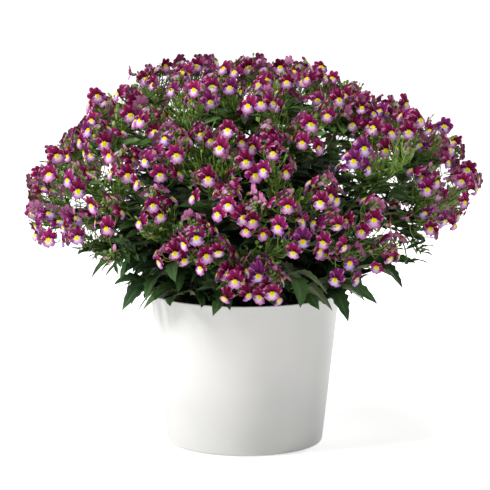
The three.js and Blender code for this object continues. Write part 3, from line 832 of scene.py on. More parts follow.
# %% Skeletons
class Skeleton:
    """The lines and loose points of one piece, with what the tree needs to know of each."""

    def __init__(self):
        self.points, self.edges = [], []
        self.rows = {"thickness": [], "which": [], "turn": [], "size": [], "luck": []}

    def add(self, point, luck, thickness=0.0, which=-1, turn=(0, 0, 0), size=(1, 1, 1)):
        self.points.append(tuple(point))
        for row, value in zip(self.rows.values(), (thickness, which, turn, size, luck)):
            row.append(value)

    def stalk(self, places, thick, thin, luck):
        first = len(self.points)
        for share, point in zip(np.linspace(0, 1, len(places)), places):
            self.add(point, luck, thickness=thick + (thin - thick) * share)
        self.edges += [(k, k + 1) for k in range(first, len(self.points) - 1)]

    def copy(self, name, point, axes, luck, size=1.0, wide=1.0):
        turn = Matrix(np.column_stack(axes)).to_euler()
        self.add(point, luck, which=NAMES.index(name), turn=tuple(turn),
                 size=(size * wide, size, size))

    def mesh(self, name):
        mesh = bpy.data.meshes.new(name)
        mesh.from_pydata(self.points, self.edges, [])
        for label, row in self.rows.items():
            kind = {"thickness": "FLOAT", "which": "INT"}.get(label, "FLOAT_VECTOR")
            attribute = mesh.attributes.new(label, kind, "POINT")
            field = "vector" if kind == "FLOAT_VECTOR" else "value"
            attribute.data.foreach_set(field, np.ravel(row))
        return mesh


print("Each point of a skeleton carries", *Skeleton().rows)

# %% Finished pieces
def finished_mesh(thing, tree, inputs, helpers=()):
    """The plain mesh that a tree makes of an object, with the modifier gone."""
    modifier = thing.modifiers.new("tree", "NODES")
    modifier.node_group = tree
    for item in tree.interface.items_tree:
        if item.in_out == "INPUT" and item.name in inputs:
            modifier[item.identifier] = inputs[item.name]
    view = bpy.context.evaluated_depsgraph_get()
    made = bpy.data.meshes.new_from_object(
        thing.evaluated_get(view), preserve_all_data_layers=True, depsgraph=view)
    thing.modifiers.clear()
    for helper in helpers:
        if helper in made.attributes:
            made.attributes.remove(made.attributes[helper])
    return made


def settle(piece, node):
    """Ties a finished piece to its place in the plain model."""
    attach(piece, "root")
    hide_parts(node)
    piece.data.calc_loop_triangles()
    return len(piece.data.loop_triangles)


def new_object(name, data):
    thing = bpy.data.objects.new(name, data)
    bpy.context.scene.collection.objects.link(thing)
    return thing


def dressed(name, bones, node, sides):
    piece = new_object(name, bones.mesh(name))
    inputs = {"Copies": SHELF, "Stalk Sides": sides, "Green": GREEN, "Petal": PETAL}
    piece.data = finished_mesh(piece, TREE, inputs, ("thickness", "which", "turn", "size"))
    return settle(piece, node)


print("The finished pieces replace the", len(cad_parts), "parts of the plain model")

# %% [markdown]
# ## Leaves and shoots
# Leaves stand in pairs, each pair across the one below it. Those at the foot are the largest,
# and the longest of them hang over the rim. Small shoots grow from the upper joints and fill
# the inside of the plant with green. A leaf that would cut the pot takes a flatter droop or
# a smaller size, and is left out if even that cuts the pot.

# %% Item numbers and stalks
ITEMS = {  # for each kind of thing, its first item number and the step to the next owner's
    "flower": (0, 40), "bud": (14, 40), "bract": (37, 40), "pod": (60000, 40),
    "spent stalk": (10000, 40), "raceme pair": (20000, 40), "low pair": (25000, 10),
    "leafy shoot": (30000, 10), "low shoot": (35000, 10), "fork leaf": (70000, 10),
    "stem pair": (0, 20), "branch pair": (50000, 20), "rosette leaf": (40000, 10),
    "arching shoot": (500, 10), "rim leaf": (80000, 0), "leaf over rim": (82000, 0),
    "core leaf": (90000, 20), "inner shoot": (95000, 4),
}
STALKS = {  # for each kind: the points along it, and half its thickness at its foot and tip
    "leafy shoot": (5, 0.0009, 0.0005), "low shoot": (5, 0.0013, 0.0008),
    "arching shoot": (8, 0.0011, 0.0007), "rim leaf": (3, 0.0007, 0.0006),
    "leaf over rim": (6, 0.0009, 0.0008), "side shoot": (4, 0.0007, 0.0004),
    "inner shoot": (5, 0.0009, 0.0006),
}


def item_of(kind, owner, k=0):
    """The item number of the k-th thing of a kind on its owner."""
    first, step = ITEMS[kind]
    return first + owner * step + k


def luck_of(item, purpose, ruddy):
    """The three numbers that vary a green: two are drawn, and the last makes it ruddy."""
    return draw(item, purpose), draw(item, purpose + 1), ruddy


def add_stalk(bones, controls, build, item, purpose, ruddy=0.1):
    """A curved stalk: build is its number of points, and half its thickness at both ends."""
    count, thick, thin = build
    places = [bezier(controls, t) for t in np.linspace(0, 1, count)]
    bones.stalk(places, thick, thin, luck_of(item, purpose, ruddy))


print(len(ITEMS), "kinds of things have item numbers, and", len(STALKS), "have stalks by table")

# %% Leaves that keep clear of the pot
RIM_ROOM = 0.002
LEAF_SHRINKS = (1.0, 0.85, 0.7)


def is_clear(point):
    """Whether a point is outside the pot's rim, or above it."""
    reach = hypot(point[0], point[1])
    return reach > POT_TOP_RADIUS + RIM_ROOM or point[2] > POT_HEIGHT + RIM_ROOM


def leaf_axes(direction, lean):
    """A leaf lies along its direction and turns its upper face to the sky."""
    level = unit(direction + UP * 1e-3)
    forward = unit(UP + lean * np.cross(level, UP))
    right, _, forward = frame_of(forward, level)
    return right, np.cross(forward, right), forward


def add_leaf(bones, item, name, root, direction, size):
    """A leaf that keeps clear of the pot, flatter or smaller if need be."""
    shape = LEAVES[name]
    first = int(draw(item, 97) ** 2 * 2.6)
    axes = leaf_axes(direction, draw(item, 91, -0.95, 0.95))
    for shrink in LEAF_SHRINKS:
        for i, share in list(enumerate(DROOPS))[first:]:
            reach, droop = shape["length"] * size * shrink, shape["droop"] * share
            bend = [root + axes[1] * reach * t + axes[2] * reach * t * (shape["lift"] - droop * t)
                    for t in (0.4, 0.6, 0.8, 1.0)]
            if all(is_clear(p) for p in bend):
                bones.copy(f"leaf_{name}_{i}", root, axes, luck_of(item, 92, 0.0),
                              size * shrink, draw(item, 94, 0.85, 1.15))
                return


def add_pair(bones, item, name, root, forward, across, size, rise):
    """Two leaves on opposite sides, which rise with their stem by the given share."""
    side = unit(across - forward * (across @ forward))
    for k, sign in enumerate((1, -1)):
        direction = unit(sign * side + rise * draw(item * 2 + k, 98, 0.5, 1.5) * forward)
        drawn_size = size * draw(item, 95 + k, 0.8, 1.1)
        add_leaf(bones, item * 2 + k, name, root, direction, drawn_size)


def add_pair_at(bones, item, name, controls, share, across, size, rise):
    """A pair of leaves at a share of a stalk's length."""
    root, forward = bezier(controls, share), tangent(controls, share)
    add_pair(bones, item, name, root, forward, across, size, rise)


print("Leaves stay", RIM_ROOM, "m clear of the rim")

# %% [markdown]
# ## What a raceme carries
# Seen close, each raceme is a ring of open flowers round a green heart of buds. The youngest
# buds are at the middle, and three at its edge already show colour. Each open flower stands
# on a thin russet stalk and holds its lip down. Below the ring hang the flat pods of the
# flowers that came first, which make a dense green layer under the bloom, and the bare
# stalks of flowers that have fallen.

# %% Flowers and buds
PEDICEL = 0.00050
FLOWER_BACK = 0.0042
BUD_COLOURS_FROM = 0.86


def around(raceme, turn):
    """The direction away from a raceme's axis at a turn, which is 0 where it faces out."""
    return swing(turn, raceme["outward"], raceme["sideways"])


def flower_luck(raceme, item):
    """Hue, age and shade: the flowers of a raceme are alike, but not the same."""
    return tuple(0.45 * draw(raceme["index"], 40 + k) + 0.55 * draw(item, 43 + k)
                 for k in range(3))


def add_flower(bones, raceme, item, turn, reach, rise):
    axis, away = raceme["axis"], around(raceme, turn)
    centre = raceme["point"] + away * reach + axis * rise
    facing = unit(away + draw(item, 51, 0.0, 0.3) * axis + draw(item, 52, -0.1, 0.3) * UP)
    sideways = np.cross(axis, away) * draw(item, 53, -0.22, 0.22)
    axes = frame_of(facing + sideways, 0.6 * axis + 0.6 * UP - 0.25 * away)
    name = f"flower_{int(draw(item, 54) * 5.6)}"
    bones.copy(name, centre, axes, flower_luck(raceme, item), draw(item, 55, 0.88, 1.1))
    start = raceme["point"] + axis * (rise - reach * draw(item, 56, 0.45, 0.85))
    back = centre - axes[2] * FLOWER_BACK
    out = start + away * reach * 0.45 + axis * 0.002
    under = back - axes[2] * 0.002 - UP * 0.005
    add_stalk(bones, [start, out, under, back], (5, PEDICEL, PEDICEL * 0.8), item, 58,
              draw(item, 57) ** 2 * 0.6)


def add_bud(bones, raceme, item, turn, share):
    """A bud of the green heart: share is 0 at its middle and 1 at its edge."""
    axis, away = raceme["axis"], around(raceme, turn)
    along = unit(axis + away * share * 1.1)
    start = raceme["point"] + axis * (0.008 - 0.006 * share)
    base = raceme["point"] + away * 0.0062 * share + axis * (0.0105 - 0.002 * share)
    coloured = share > BUD_COLOURS_FROM
    size = draw(item, 61, 0.8, 1.15) * (1.0 if coloured else 0.75 + 0.45 * share)
    right, forward, _ = frame_of(along, away)
    name = "bud_coloured" if coloured else "bud_green"
    bones.copy(name, base, (right, along, forward), flower_luck(raceme, item), size)
    bones.stalk([start, base], PEDICEL, PEDICEL, luck_of(item, 63, 0.1))


print("An open flower stands", FLOWER_BACK, "m in front of its stalk's end")

# %% Pods and spent stalks
def add_pod(bones, raceme, item, turn, start, axis):
    away = around(raceme, turn)
    along = unit(away * draw(item, 71, 0.5, 1.1) + axis + UP * 0.3)
    reach = draw(item, 72, 0.006, 0.019)
    end = start + along * reach + away * 0.002
    controls = [start, start + away * reach * 0.5, end - along * 0.002, end]
    add_stalk(bones, controls, (4, PEDICEL, PEDICEL), item, 73, draw(item, 75, 0.0, 0.15))
    level = np.cross(along, UP)
    right = unit(swing(item, level, np.cross(along, level)))
    axes = (right, along, np.cross(right, along))
    bones.copy("pod", end, axes, luck_of(item, 76, 0.2), draw(item, 78, 0.75, 1.15))


def add_spent_stalk(bones, raceme, item, turn, start, axis, reach):
    """The thin stalk of a flower that has fallen, bent upwards, one in five with its cup."""
    away = around(raceme, turn)
    reach *= draw(item, 131, 0.6, 1.1)
    curl = around(raceme, turn + draw(item, 135, -1.2, 1.2))
    bend = start + away * reach * 0.9 + axis * reach * 0.1
    end = (start + away * reach * 0.5 + curl * reach * 0.4
           + axis * reach * draw(item, 132, 0.8, 1.5))
    luck = draw(item, 133, 0.5, 1.0), 0.5, draw(item, 134, 0.0, 0.12)
    places = [bezier([start, bend, end], t) for t in np.linspace(0, 1, 4)]
    bones.stalk(places, PEDICEL, PEDICEL * 0.9, luck)
    if item % 5 == 0:
        last = places[-1] - places[-2]
        along, right = unit(last), frame_of(np.cross(away, axis), last)[0]
        bones.copy("bud_green", end, (right, along, np.cross(right, along)), luck, 0.8)


print("Stalks of flowers and pods are", 2 * PEDICEL, "m thick")

# %% [markdown]
# ## What makes this plant its own
# An even dome looks made up. Here five racemes are past flowering, and two low shoots haven't
# flowered yet. About a third of the racemes stand a little above, below or beside the dome,
# ten late ones fill gaps in front, and a few leafy shoots hang out low. The left side has few
# leaves and shows daylight between its stems. Short tables hold all this, apart from the
# rule, so each line can be changed by itself.

# %% Racemes that depart from the rule
GONE_OVER = {33, 54, 66, 84, 113}
LEAF_PAIRS = {99: 2, 101: 4}  # the low shoots that have not flowered, and their pairs of leaves
SHIFTS = {  # to the right, to the back and upwards, in millimetres
    1: (0, 0, 5), 2: (0, 0, 7), 3: (0, 0, 9), 9: (0, 0, 6), 11: (0, 0, 4), 12: (-10, 0, -12),
    14: (0, 0, 5), 15: (0, 0, -11), 17: (0, 0, -11), 24: (0, 0, -13), 25: (0, 0, -13),
    26: (0, 0, -10), 29: (4, 0, -8), 37: (14, 0, -16), 39: (-4, 0, 4), 51: (8, 0, -23),
    52: (16, 0, -18), 53: (10, 0, -19), 54: (0, 0, 22), 64: (8, 0, -10), 65: (0, 0, -8),
    75: (2, 0, -9), 76: (6, 0, 4), 77: (12, 0, -1), 78: (8, 0, 13), 79: (0, 0, 8),
    84: (8, 0, 14), 99: (14, 0, 8), 102: (0, 0, 12), 103: (9, 0, -5), 104: (0, 0, 10),
    109: (-16, 0, 14), 120: (0, 0, -19), 121: (0, 0, -21),
}
LATE_PLACES = [  # degrees from the dome's top, and azimuth in degrees
    (64, 269), (80, 266), (67, 244), (87, 280), (96, 292),
    (107, 263), (112, 268), (112, 277), (52, 277), (50, 255),
]


def moved(raceme, bunch):
    """The raceme at its place in the bloom, a little off the dome."""
    index = raceme["index"]
    rise = draw(bunch["index"], 88, -0.004, 0.006) + draw(index, 89, 0, 0.006)
    shift = raceme["axis"] * rise + np.array(SHIFTS.get(index, (0, 0, 0))) / 1000
    return {**raceme, "point": raceme["point"] + shift}


def nearest_bunch(raceme):
    return min(bunches, key=lambda b: norm(b["fork"] - raceme["point"]))


late_racemes = [lay_out_raceme(len(racemes) + k, dome(radians(polar), radians(azimuth)))
                for k, (polar, azimuth) in enumerate(LATE_PLACES)]
print(len(SHIFTS), "racemes are shifted, and", len(late_racemes), "are late ones")

# %% How much a raceme carries
RACHIS = 0.0009
RINGS = [  # for each ring: flowers, their distance from the axis, and their height on it
    (4, 0.0100, 0.0085),
    (6, 0.0175, -0.0025),
]
OUTER_FROM = 0.13
SIDE_FROM = 0.12
BEHIND_FROM = 0.06
HIGH_FROM = 0.315
PODS_AND_STALKS = {  # how many of each a raceme carries, by the first state that holds
    "leafy": (6, 4), "over": (36, 34), "thin": (20, 9), "behind": (20, 18), "high": (32, 18),
    "usual": (26, 18),
}
BUDS = 11


def is_outer(point):
    return hypot(point[0], point[1]) > OUTER_FROM


def state_of(raceme):
    index, (x, y, z) = raceme["index"], raceme["point"]
    holds = {"leafy": index in LEAF_PAIRS, "over": index in GONE_OVER, "thin": x < -SIDE_FROM,
             "behind": y > BEHIND_FROM, "high": z > HIGH_FROM, "usual": True}
    return next(state for state in PODS_AND_STALKS if holds[state])


def flowers_in_ring(ring, full, point):
    """Fewer at the top of the plant, at its edge, and in the outer ring at its sides."""
    if point[2] > HIGH_FROM:
        return 3
    return full - is_outer(point) - (ring if abs(point[0]) > SIDE_FROM else 0)


print("A full raceme has", sum(ring[0] for ring in RINGS), "flowers and", BUDS, "buds")

# %% One raceme
def add_rings(bones, raceme):
    index = raceme["index"]
    for ring, (full, reach, rise) in enumerate(RINGS):
        count = flowers_in_ring(ring, full, raceme["point"])
        for k in range(count):
            item = item_of("flower", index, ring * 7 + k)
            turn = 2 * pi * (k + 0.5 * ring + draw(item, 82, -0.2, 0.2)) / count
            add_flower(bones, raceme, item, turn, reach * draw(item, 83, 0.65, 1.2),
                       rise + draw(item, 84, -0.009, 0.006))


def add_raceme(bones, raceme, bunch):
    """A raceme on its stalk from the bunch's fork, with all that it carries."""
    raceme = moved(raceme, bunch)
    index, point, axis = raceme["index"], raceme["point"], raceme["axis"]
    state, outer = state_of(raceme), is_outer(point)
    pods, stalks = PODS_AND_STALKS[state]
    over = state in ("leafy", "over")
    climb = unit(axis + UP) if over else axis
    long = norm(point - bunch["fork"])
    controls = [bunch["fork"], bunch["fork"] + bunch["axis"] * long / 3,
                point - axis * long / 3, point + axis * 0.009]
    add_stalk(bones, controls, (9, RACHIS * 1.15, RACHIS * 0.7), index, 81, 0.15)
    if not over:
        add_rings(bones, raceme)
    for k in range(LEAF_PAIRS.get(index, 0)):
        add_pair_at(bones, item_of("low pair", index, k), "narrow" if k % 2 else "middle",
                    controls, 0.35 + 0.18 * k, around(raceme, k * pi / 2), 0.85 - 0.08 * k, 0.6)
    for k in range(BUDS):
        add_bud(bones, raceme, item_of("bud", index, k), k * GOLDEN_ANGLE,
                sqrt(k / (BUDS - 1)))
    for k in range(pods):
        share = 0.25 + (0.73 if over else 0.6) * k / pods
        add_pod(bones, raceme, item_of("pod", index, k), k * GOLDEN_ANGLE + index,
                bezier(controls, share), unit(tangent(controls, share) + climb))
    for k in range(stalks):
        share = 0.2 + (0.75 if over else 0.6) * k / stalks
        add_spent_stalk(bones, raceme, item_of("spent stalk", index, k),
                        (k + 0.5) * GOLDEN_ANGLE, bezier(controls, share),
                        unit(tangent(controls, share) + 2 * climb), 0.014 if over else 0.013)
    for k in range(5):
        name = "plain" if k < 2 and not outer else "narrow"
        add_pair_at(bones, item_of("raceme pair", index, k), name, controls,
                    0.04 + 0.15 * k, around(raceme, k * pi / 2 + index), 1.0 - 0.12 * k, 0.9)
    for k in range(3):
        item = item_of("bract", index, k)
        away = around(raceme, k * GOLDEN_ANGLE + 2)
        axes = frame_of(np.cross(away, np.cross(axis, away)), away + UP * 0.3)
        bones.copy("bract", bezier(controls, 0.12 + 0.3 * k), axes, luck_of(item, 86, 0),
                      draw(item, 88, 0.8, 1.5))


trial = Skeleton()
add_raceme(trial, racemes[0], bunches[0])
print("The first raceme's skeleton has", len(trial.points), "points")

# %% Leaves of a bunch
THIN_SIDE = -0.15  # the bunches left of here have few leaves and show gaps
LOW_SHOOTS = {26: (-0.1, 0.5), 34: (-0.6, -0.1), 31: (0.4,)}  # for a bunch, its shoots' turns
SHOOT_PAIRS = [(0.35, 0.9), (0.6, 0.9), (0.8, 0.85), (0.98, 0.7)]  # share of length, and size


def add_leafy_shoots(bones, bunch):
    """Up to three shoots without flowers, which fill the room between the racemes."""
    outer, thin = is_outer(bunch["middle"]), bunch["middle"][0] < THIN_SIDE
    places = [r["point"] - r["axis"] * 0.012 for r in bunch["racemes"]]
    for k in range(1 if thin else 2 if outer else 3):
        item = item_of("leafy shoot", bunch["index"], k)
        tip = (places[k] + places[(k + 1) % 3]) / 2
        tip = tip + (tip - bunch["middle"]) * draw(item, 141, -0.2, 0.5)
        way = tip - bunch["fork"]
        controls = [bunch["fork"], bunch["fork"] + way * 0.5, tip - bunch["axis"] * 0.010, tip]
        add_stalk(bones, controls, STALKS["leafy shoot"], item, 142)
        for j, (share, size) in enumerate(SHOOT_PAIRS):
            forward = tangent(controls, min(share, 0.97))
            across = np.cross(forward, (UP, way)[j % 2] + 1e-3)
            add_pair(bones, item * 4 + j, "plain" if j < 2 and not outer else "narrow",
                     bezier(controls, share), forward, across, size, 0.8)


def add_fork_leaves(bones, bunch):
    """Leaves round a bunch's fork, which close the view into the plant."""
    outer, thin = is_outer(bunch["middle"]), bunch["middle"][0] < THIN_SIDE
    for k in range(3 if thin else 9 if outer else 11):
        item = item_of("fork leaf", bunch["index"], k)
        out = unit(level_way(k * GOLDEN_ANGLE) + UP * draw(item, 161, -0.9, 1.0))
        root = bunch["fork"] - bunch["axis"] * draw(item, 162, -0.008, 0.002) * (k % 3)
        add_leaf(bones, item, "narrow" if outer or k % 2 else "plain", root, out,
                 draw(item, 163, 1.05, 1.45))


def add_low_shoot(bones, bunch, k, turn):
    """A shoot of narrow leaves that hangs out below a bunch."""
    item = item_of("low shoot", bunch["index"], k)
    out = unit(bunch["fork"] * (1, 1, 0))
    out = swing(turn, out, np.cross(UP, out))
    root = bunch["fork"] - bunch["axis"] * 0.018
    tip = root + out * draw(item, 201, 0.020, 0.030) - UP * draw(item, 202, 0.020, 0.034)
    controls = [root, root + out * 0.016, tip]
    add_stalk(bones, controls, STALKS["low shoot"], item, 203)
    for j in range(5):
        across = np.cross(out, UP) if j % 2 else np.cross(out, UP) + 0.8 * UP
        add_pair_at(bones, item * 8 + j, "narrow", controls, 0.2 + 0.19 * j, across,
                    1.05 - 0.05 * j, 1.2)


print(sum(len(turns) for turns in LOW_SHOOTS.values()), "leafy shoots hang out low")

# %% Dress the bunches
def add_bunch(bones, bunch):
    for raceme in bunch["racemes"] + [r for r in late_racemes if nearest_bunch(r) is bunch]:
        add_raceme(bones, raceme, bunch)
    add_leafy_shoots(bones, bunch)
    add_fork_leaves(bones, bunch)
    for k, turn in enumerate(LOW_SHOOTS.get(bunch["index"], ())):
        add_low_shoot(bones, bunch, k, turn)


def dress_all(piece, things, add, node, sides):
    """One finished piece for each bunch or stem."""
    triangles = []
    for thing in things:
        bones = Skeleton()
        add(bones, thing)
        number = f"{thing['index'] + 1:02d}"
        triangles.append(dressed(f"{piece}_{number}", bones, f"{node}_{number}", sides))
    print(f"{len(triangles)} pieces {piece}_01 and on, with {sum(triangles)} triangles,",
          "at most", max(triangles))


dress_all("bloom", bunches, add_bunch, "flower_bunch", 3)

# %% [markdown]
# ## Dressing the stems
# Each stem carries six pairs of leaves with small side shoots, and its two branches carry
# more. Low growth hides its foot: a rosette of leaves, and arching shoots whose leaves hang
# over the pot. Leaves also stand all round the rim, each on its own stalk from the crown, and
# go to the stem that is nearest. A second table holds the large leaves that lie on the rim
# or hang over it. Shoots without flowers close the view through the middle of the plant.

# %% Where the low growth stands
CENTRAL_FOOT = 0.025
ROSETTE_LEAVES = 7
RIM_PLACES = 96
LOW_FOOT = 0.058
OVER_RIM = [
    # azimuth in degrees, reach and level in millimetres, turn aside, slope down, size
    (-64, 95, 158, 0.2, 1.6, 0.75), (-58, 83, 152, 1.0, 0.1, 1.0), (-47, 83, 155, 0.9, 0.2, 1.1),
    (-38, 83, 150, -0.2, 0.5, 0.9), (-30, 84, 157, 0.3, 0.3, 1.0), (-33, 93, 151, 0.0, 3.2, 1.05),
    (-15, 121, 172, 0.0, 2.6, 0.95), (-12, 83, 154, 0.4, 0.4, 1.0), (-2, 83, 150, -0.3, 0.3, 1.1),
    (12, 83, 152, 0.5, 0.3, 1.0), (28, 83, 154, -0.4, 0.4, 1.1), (50, 83, 151, 0.3, 0.4, 1.0),
    (75, 83, 155, -0.3, 0.5, 1.1), (100, 83, 150, 0.4, 0.3, 1.0), (128, 83, 153, -0.2, 0.5, 1.1),
    (150, 83, 151, 0.4, 0.3, 1.0), (168, 83, 156, -0.5, 0.4, 1.1), (184, 83, 150, 0.3, 0.3, 1.1),
    (197, 83, 153, 0.5, 0.5, 1.2), (208, 83, 155, -0.4, 0.3, 1.0), (220, 83, 151, 0.3, 0.3, 1.1),
    (232, 83, 154, -0.9, 0.1, 1.1), (245, 83, 151, -0.7, 0.2, 0.9), (222, 90, 152, -0.3, 1.5, 0.9),
    (230, 89, 150, 0.8, 0.8, 0.8), (237, 90, 151, 0.4, 1.5, 0.9), (249, 90, 150, -0.3, 1.4, 0.8),
]


def nearest_stem(azimuth):
    """The stem whose foot stands nearest to the rim at an azimuth."""
    spot = level_way(azimuth) * CROWN_RADIUS + UP * SOIL_TOP
    return min(stems, key=lambda s: norm(s["main"][0] - spot))["index"]


print(RIM_PLACES, "small leaves stand round the rim, and", len(OVER_RIM), "large ones")

# %% Low growth
def add_arching_shoots(bones, item, outward):
    """Two shoots that rise from the crown, arch over the rim and hang their leaves there."""
    for k, turn in enumerate((-0.35, 0.35)):
        turn += draw(item + k, 121, -0.25, 0.25)
        out = swing(turn, outward, np.cross(UP, outward))
        tip = draw(item + k, 122, 0.100, 0.128 if out[0] > 0 else 0.112)
        level = draw(item + k, 123, 0.160, 0.190)
        controls = [out * 0.056 + UP * SOIL_TOP, out * 0.068 + UP * 0.165,
                    out * 0.085 + UP * (level + 0.012), out * tip + UP * level]
        add_stalk(bones, controls, STALKS["arching shoot"], item + k, 124, 0.2)
        for j, share in enumerate((0.5, 0.72, 0.92)):
            forward = tangent(controls, share)
            across = np.cross(forward, UP) + 0.3 * UP * (j % 2)
            add_pair(bones, item * 3 + k * 8 + j, "broad", bezier(controls, share),
                     forward + out, across, draw(item + k * 3 + j, 126, 0.85, 1.15), 0.3)
        add_leaf(bones, item * 3 + k * 8 + 5, "broad", bezier(controls, 0.99), out, 1.1)


def add_rim_leaf(bones, item, azimuth):
    """A leaf of the low growth, on its own stalk from the crown."""
    out = level_way(azimuth + draw(item, 171, -0.08, 0.08))
    root = out * draw(item, 172, 0.056, 0.082) + UP * draw(item, 173, 0.149, 0.190)
    foot = out * LOW_FOOT + UP * SOIL_TOP
    add_stalk(bones, [foot, foot + UP * 0.02, root], STALKS["rim leaf"], item, 174)
    name = "broad" if draw(item, 176) > 0.45 else "middle"
    way = unit(out + np.cross(UP, out) * draw(item, 177, -1.3, 1.3))
    add_leaf(bones, item, name, root, way, draw(item, 178, 0.75, 1.05))


def add_leaf_over_rim(bones, item, degrees, reach, level, turn, drop, size):
    """One of the large leaves that lie on the rim or hang over it."""
    out = level_way(radians(degrees))
    foot, root = out * LOW_FOOT + UP * SOIL_TOP, out * reach / 1000 + UP * level / 1000
    add_stalk(bones, [foot, foot + UP * 0.03, root], STALKS["leaf over rim"], item, 184)
    add_leaf(bones, item, "broad", root, unit(out + turn * np.cross(UP, out) - drop * UP), size)


def add_low_growth(bones, index, foot, outward):
    if norm(foot * (1, 1, 0)) > CENTRAL_FOOT:
        add_arching_shoots(bones, item_of("arching shoot", index), outward)
    for k in range(RIM_PLACES):
        azimuth = k * 2 * pi / RIM_PLACES
        if nearest_stem(azimuth) == index:
            add_rim_leaf(bones, item_of("rim leaf", index, k), azimuth)
    for k, row in enumerate(OVER_RIM):
        if nearest_stem(radians(row[0])) == index:
            add_leaf_over_rim(bones, item_of("leaf over rim", index, k), *row)


trial = Skeleton()
add_low_growth(trial, 0, stems[0]["main"][0], stems[0]["outward"])
print("The first stem's low growth has", len(trial.points), "points")

# %% Shoots inside the plant
CORE_LEAVES = 14


def add_shoot(bones, item, root, direction, length):
    """A short leafy side shoot."""
    tip = root + direction * length + UP * length * 0.9
    controls = [root, root + direction * length * 0.7, tip]
    add_stalk(bones, controls, STALKS["side shoot"], item, 101)
    for k, share in enumerate((0.45, 0.75, 1.0)):
        forward = tangent(controls, min(share, 0.999))
        across = np.cross(forward, direction if k % 2 else UP)
        add_pair(bones, item * 5 + k, "narrow", bezier(controls, share), forward,
                 across + 1e-3, 0.75 - 0.15 * k, 0.9)


def add_inner_shoot(bones, item, root):
    """An upright shoot without flowers inside the plant."""
    aside = level_way(2 * pi * draw(item, 191))
    tip = root + aside * draw(item, 192, 0.01, 0.04) + UP * draw(item, 193, 0.04, 0.07)
    controls = [root, root + UP * 0.025, tip]
    add_stalk(bones, controls, STALKS["inner shoot"], item, 194)
    for k in range(6):
        across = np.cross(UP, aside) if k % 2 else aside
        add_pair_at(bones, item * 8 + k, "plain", controls, 0.2 + 0.155 * k, across,
                    0.95 - 0.04 * k, 0.8)


def add_core(bones, index, main):
    """Leaves and upright shoots at the top of a stem, in the middle of the plant."""
    for k in range(CORE_LEAVES):
        item = item_of("core leaf", index, k)
        out = unit(level_way(k * GOLDEN_ANGLE) + UP * draw(item, 181, -0.4, 0.8))
        add_leaf(bones, item, "plain", bezier(main, 0.55 + 0.45 * k / CORE_LEAVES), out,
                 draw(item, 182, 1.1, 1.4))
    for k in range(3 if main[-1][2] > 0.22 else 2):
        add_inner_shoot(bones, item_of("inner shoot", index, k), bezier(main, 1 - 0.12 * k))


print("At the top of each stem stand", CORE_LEAVES, "leaves")

# %% Dress the stems
STEM = 0.0014
BRANCH = 0.0011
STEM_LEAVES = [("broad", 0.95), ("broad", 1.0), ("broad", 0.92), ("middle", 1.0),
               ("middle", 0.92), ("narrow", 1.1)]


def add_stem(bones, stem):
    index, outward, main = stem["index"], stem["outward"], stem["main"]
    sideways = np.cross(UP, outward)
    for k in range(ROSETTE_LEAVES):
        item = item_of("rosette leaf", index, k)
        root = bezier(main, 0.05) + UP * draw(item, 151, 0.012, 0.034)
        out = swing(k * GOLDEN_ANGLE + index, outward, sideways)
        bones.stalk([main[0], root], 0.0006, 0.0005, luck_of(item, 152, 0.1))
        add_leaf(bones, item, "middle", root, out, draw(item, 154, 0.8, 1.1))
    add_stalk(bones, main, (11, STEM * 1.15, STEM * 0.9), index, 111, 0.25)
    for k, (name, size) in enumerate(STEM_LEAVES):
        share, item = 0.12 + 0.16 * k, item_of("stem pair", index, k)
        across = outward if k % 2 else sideways
        add_pair_at(bones, item, name, main, share, across, size, 0.3)
        if k >= 2:
            way = unit(across * (1 if draw(item, 112) > 0.5 else -1) + 0.2 * sideways)
            add_shoot(bones, item, bezier(main, share + 0.02), way,
                      draw(item, 113, 0.012, 0.024))
    add_low_growth(bones, index, main[0], outward)
    add_core(bones, index, main)
    for b, branch in enumerate(stem["branches"]):
        add_stalk(bones, branch, (10, BRANCH, RACHIS * 1.1), index + b, 114, 0.2)
        for k, share in enumerate(np.linspace(0.1, 0.94, 8)):
            add_pair_at(bones, item_of("branch pair", index, 9 * b + k),
                        "middle" if k == 4 else "plain", branch, share,
                        sideways if (k + b) % 2 else outward, 1.1 - 0.05 * k, 0.3)


dress_all("stem", stems, add_stem, "leafy_stem", 4)

# %% Put the shapes away
for name in NAMES:
    bpy.data.meshes.remove(bpy.data.objects[name].data)
bpy.data.collections.remove(SHELF)
print("The", len(NAMES), "shapes to copy are no longer needed and are gone")

# %% [markdown]
# ## The pot
# A nursery pot of glossy white plastic, wider at the top, with a slightly rounded rim and
# foot. It is a turned form, so a profile is swept round the axis.

# %% Turned forms
POT_SIDES = 128
POT_ROUNDING = (0.003, 0.0012, 0.0012, 0.003)  # at its foot, rim outside and inside, and floor
ON_AXIS = 1e-9


def turned_mesh(name, profile, sides):
    """A closed form from a profile that starts and ends on the axis."""
    build = bmesh.new()
    rings = []
    for radius, height in profile:
        count = sides if radius > ON_AXIS else 1
        turns = [2 * pi * k / sides for k in range(count)]
        rings.append([build.verts.new((radius * cos(t), radius * sin(t), height)) for t in turns])
    for low, high in zip(rings, rings[1:]):
        for k in range(sides):
            corners = [low[k % len(low)], low[(k + 1) % len(low)],
                       high[(k + 1) % len(high)], high[k % len(high)]]
            build.faces.new(list(dict.fromkeys(corners)))
    bmesh.ops.recalc_face_normals(build, faces=build.faces)
    mesh = bpy.data.meshes.new(name)
    build.to_mesh(mesh)
    build.free()
    mesh.shade_smooth()
    return mesh


print("A turned form has", POT_SIDES, "sides here")

# %% The pot's profile, finish and mesh
def rounded(corner, before, after, radius, count=4):
    """Points round a corner of a profile, where the line turns from before to after."""
    corner, before, after = (np.array(p, float) for p in (corner, before, after))
    start = corner + unit(before - corner) * radius
    end = corner + unit(after - corner) * radius
    return [tuple(bezier([start, corner, end], t)) for t in np.linspace(0, 1, count + 1)]


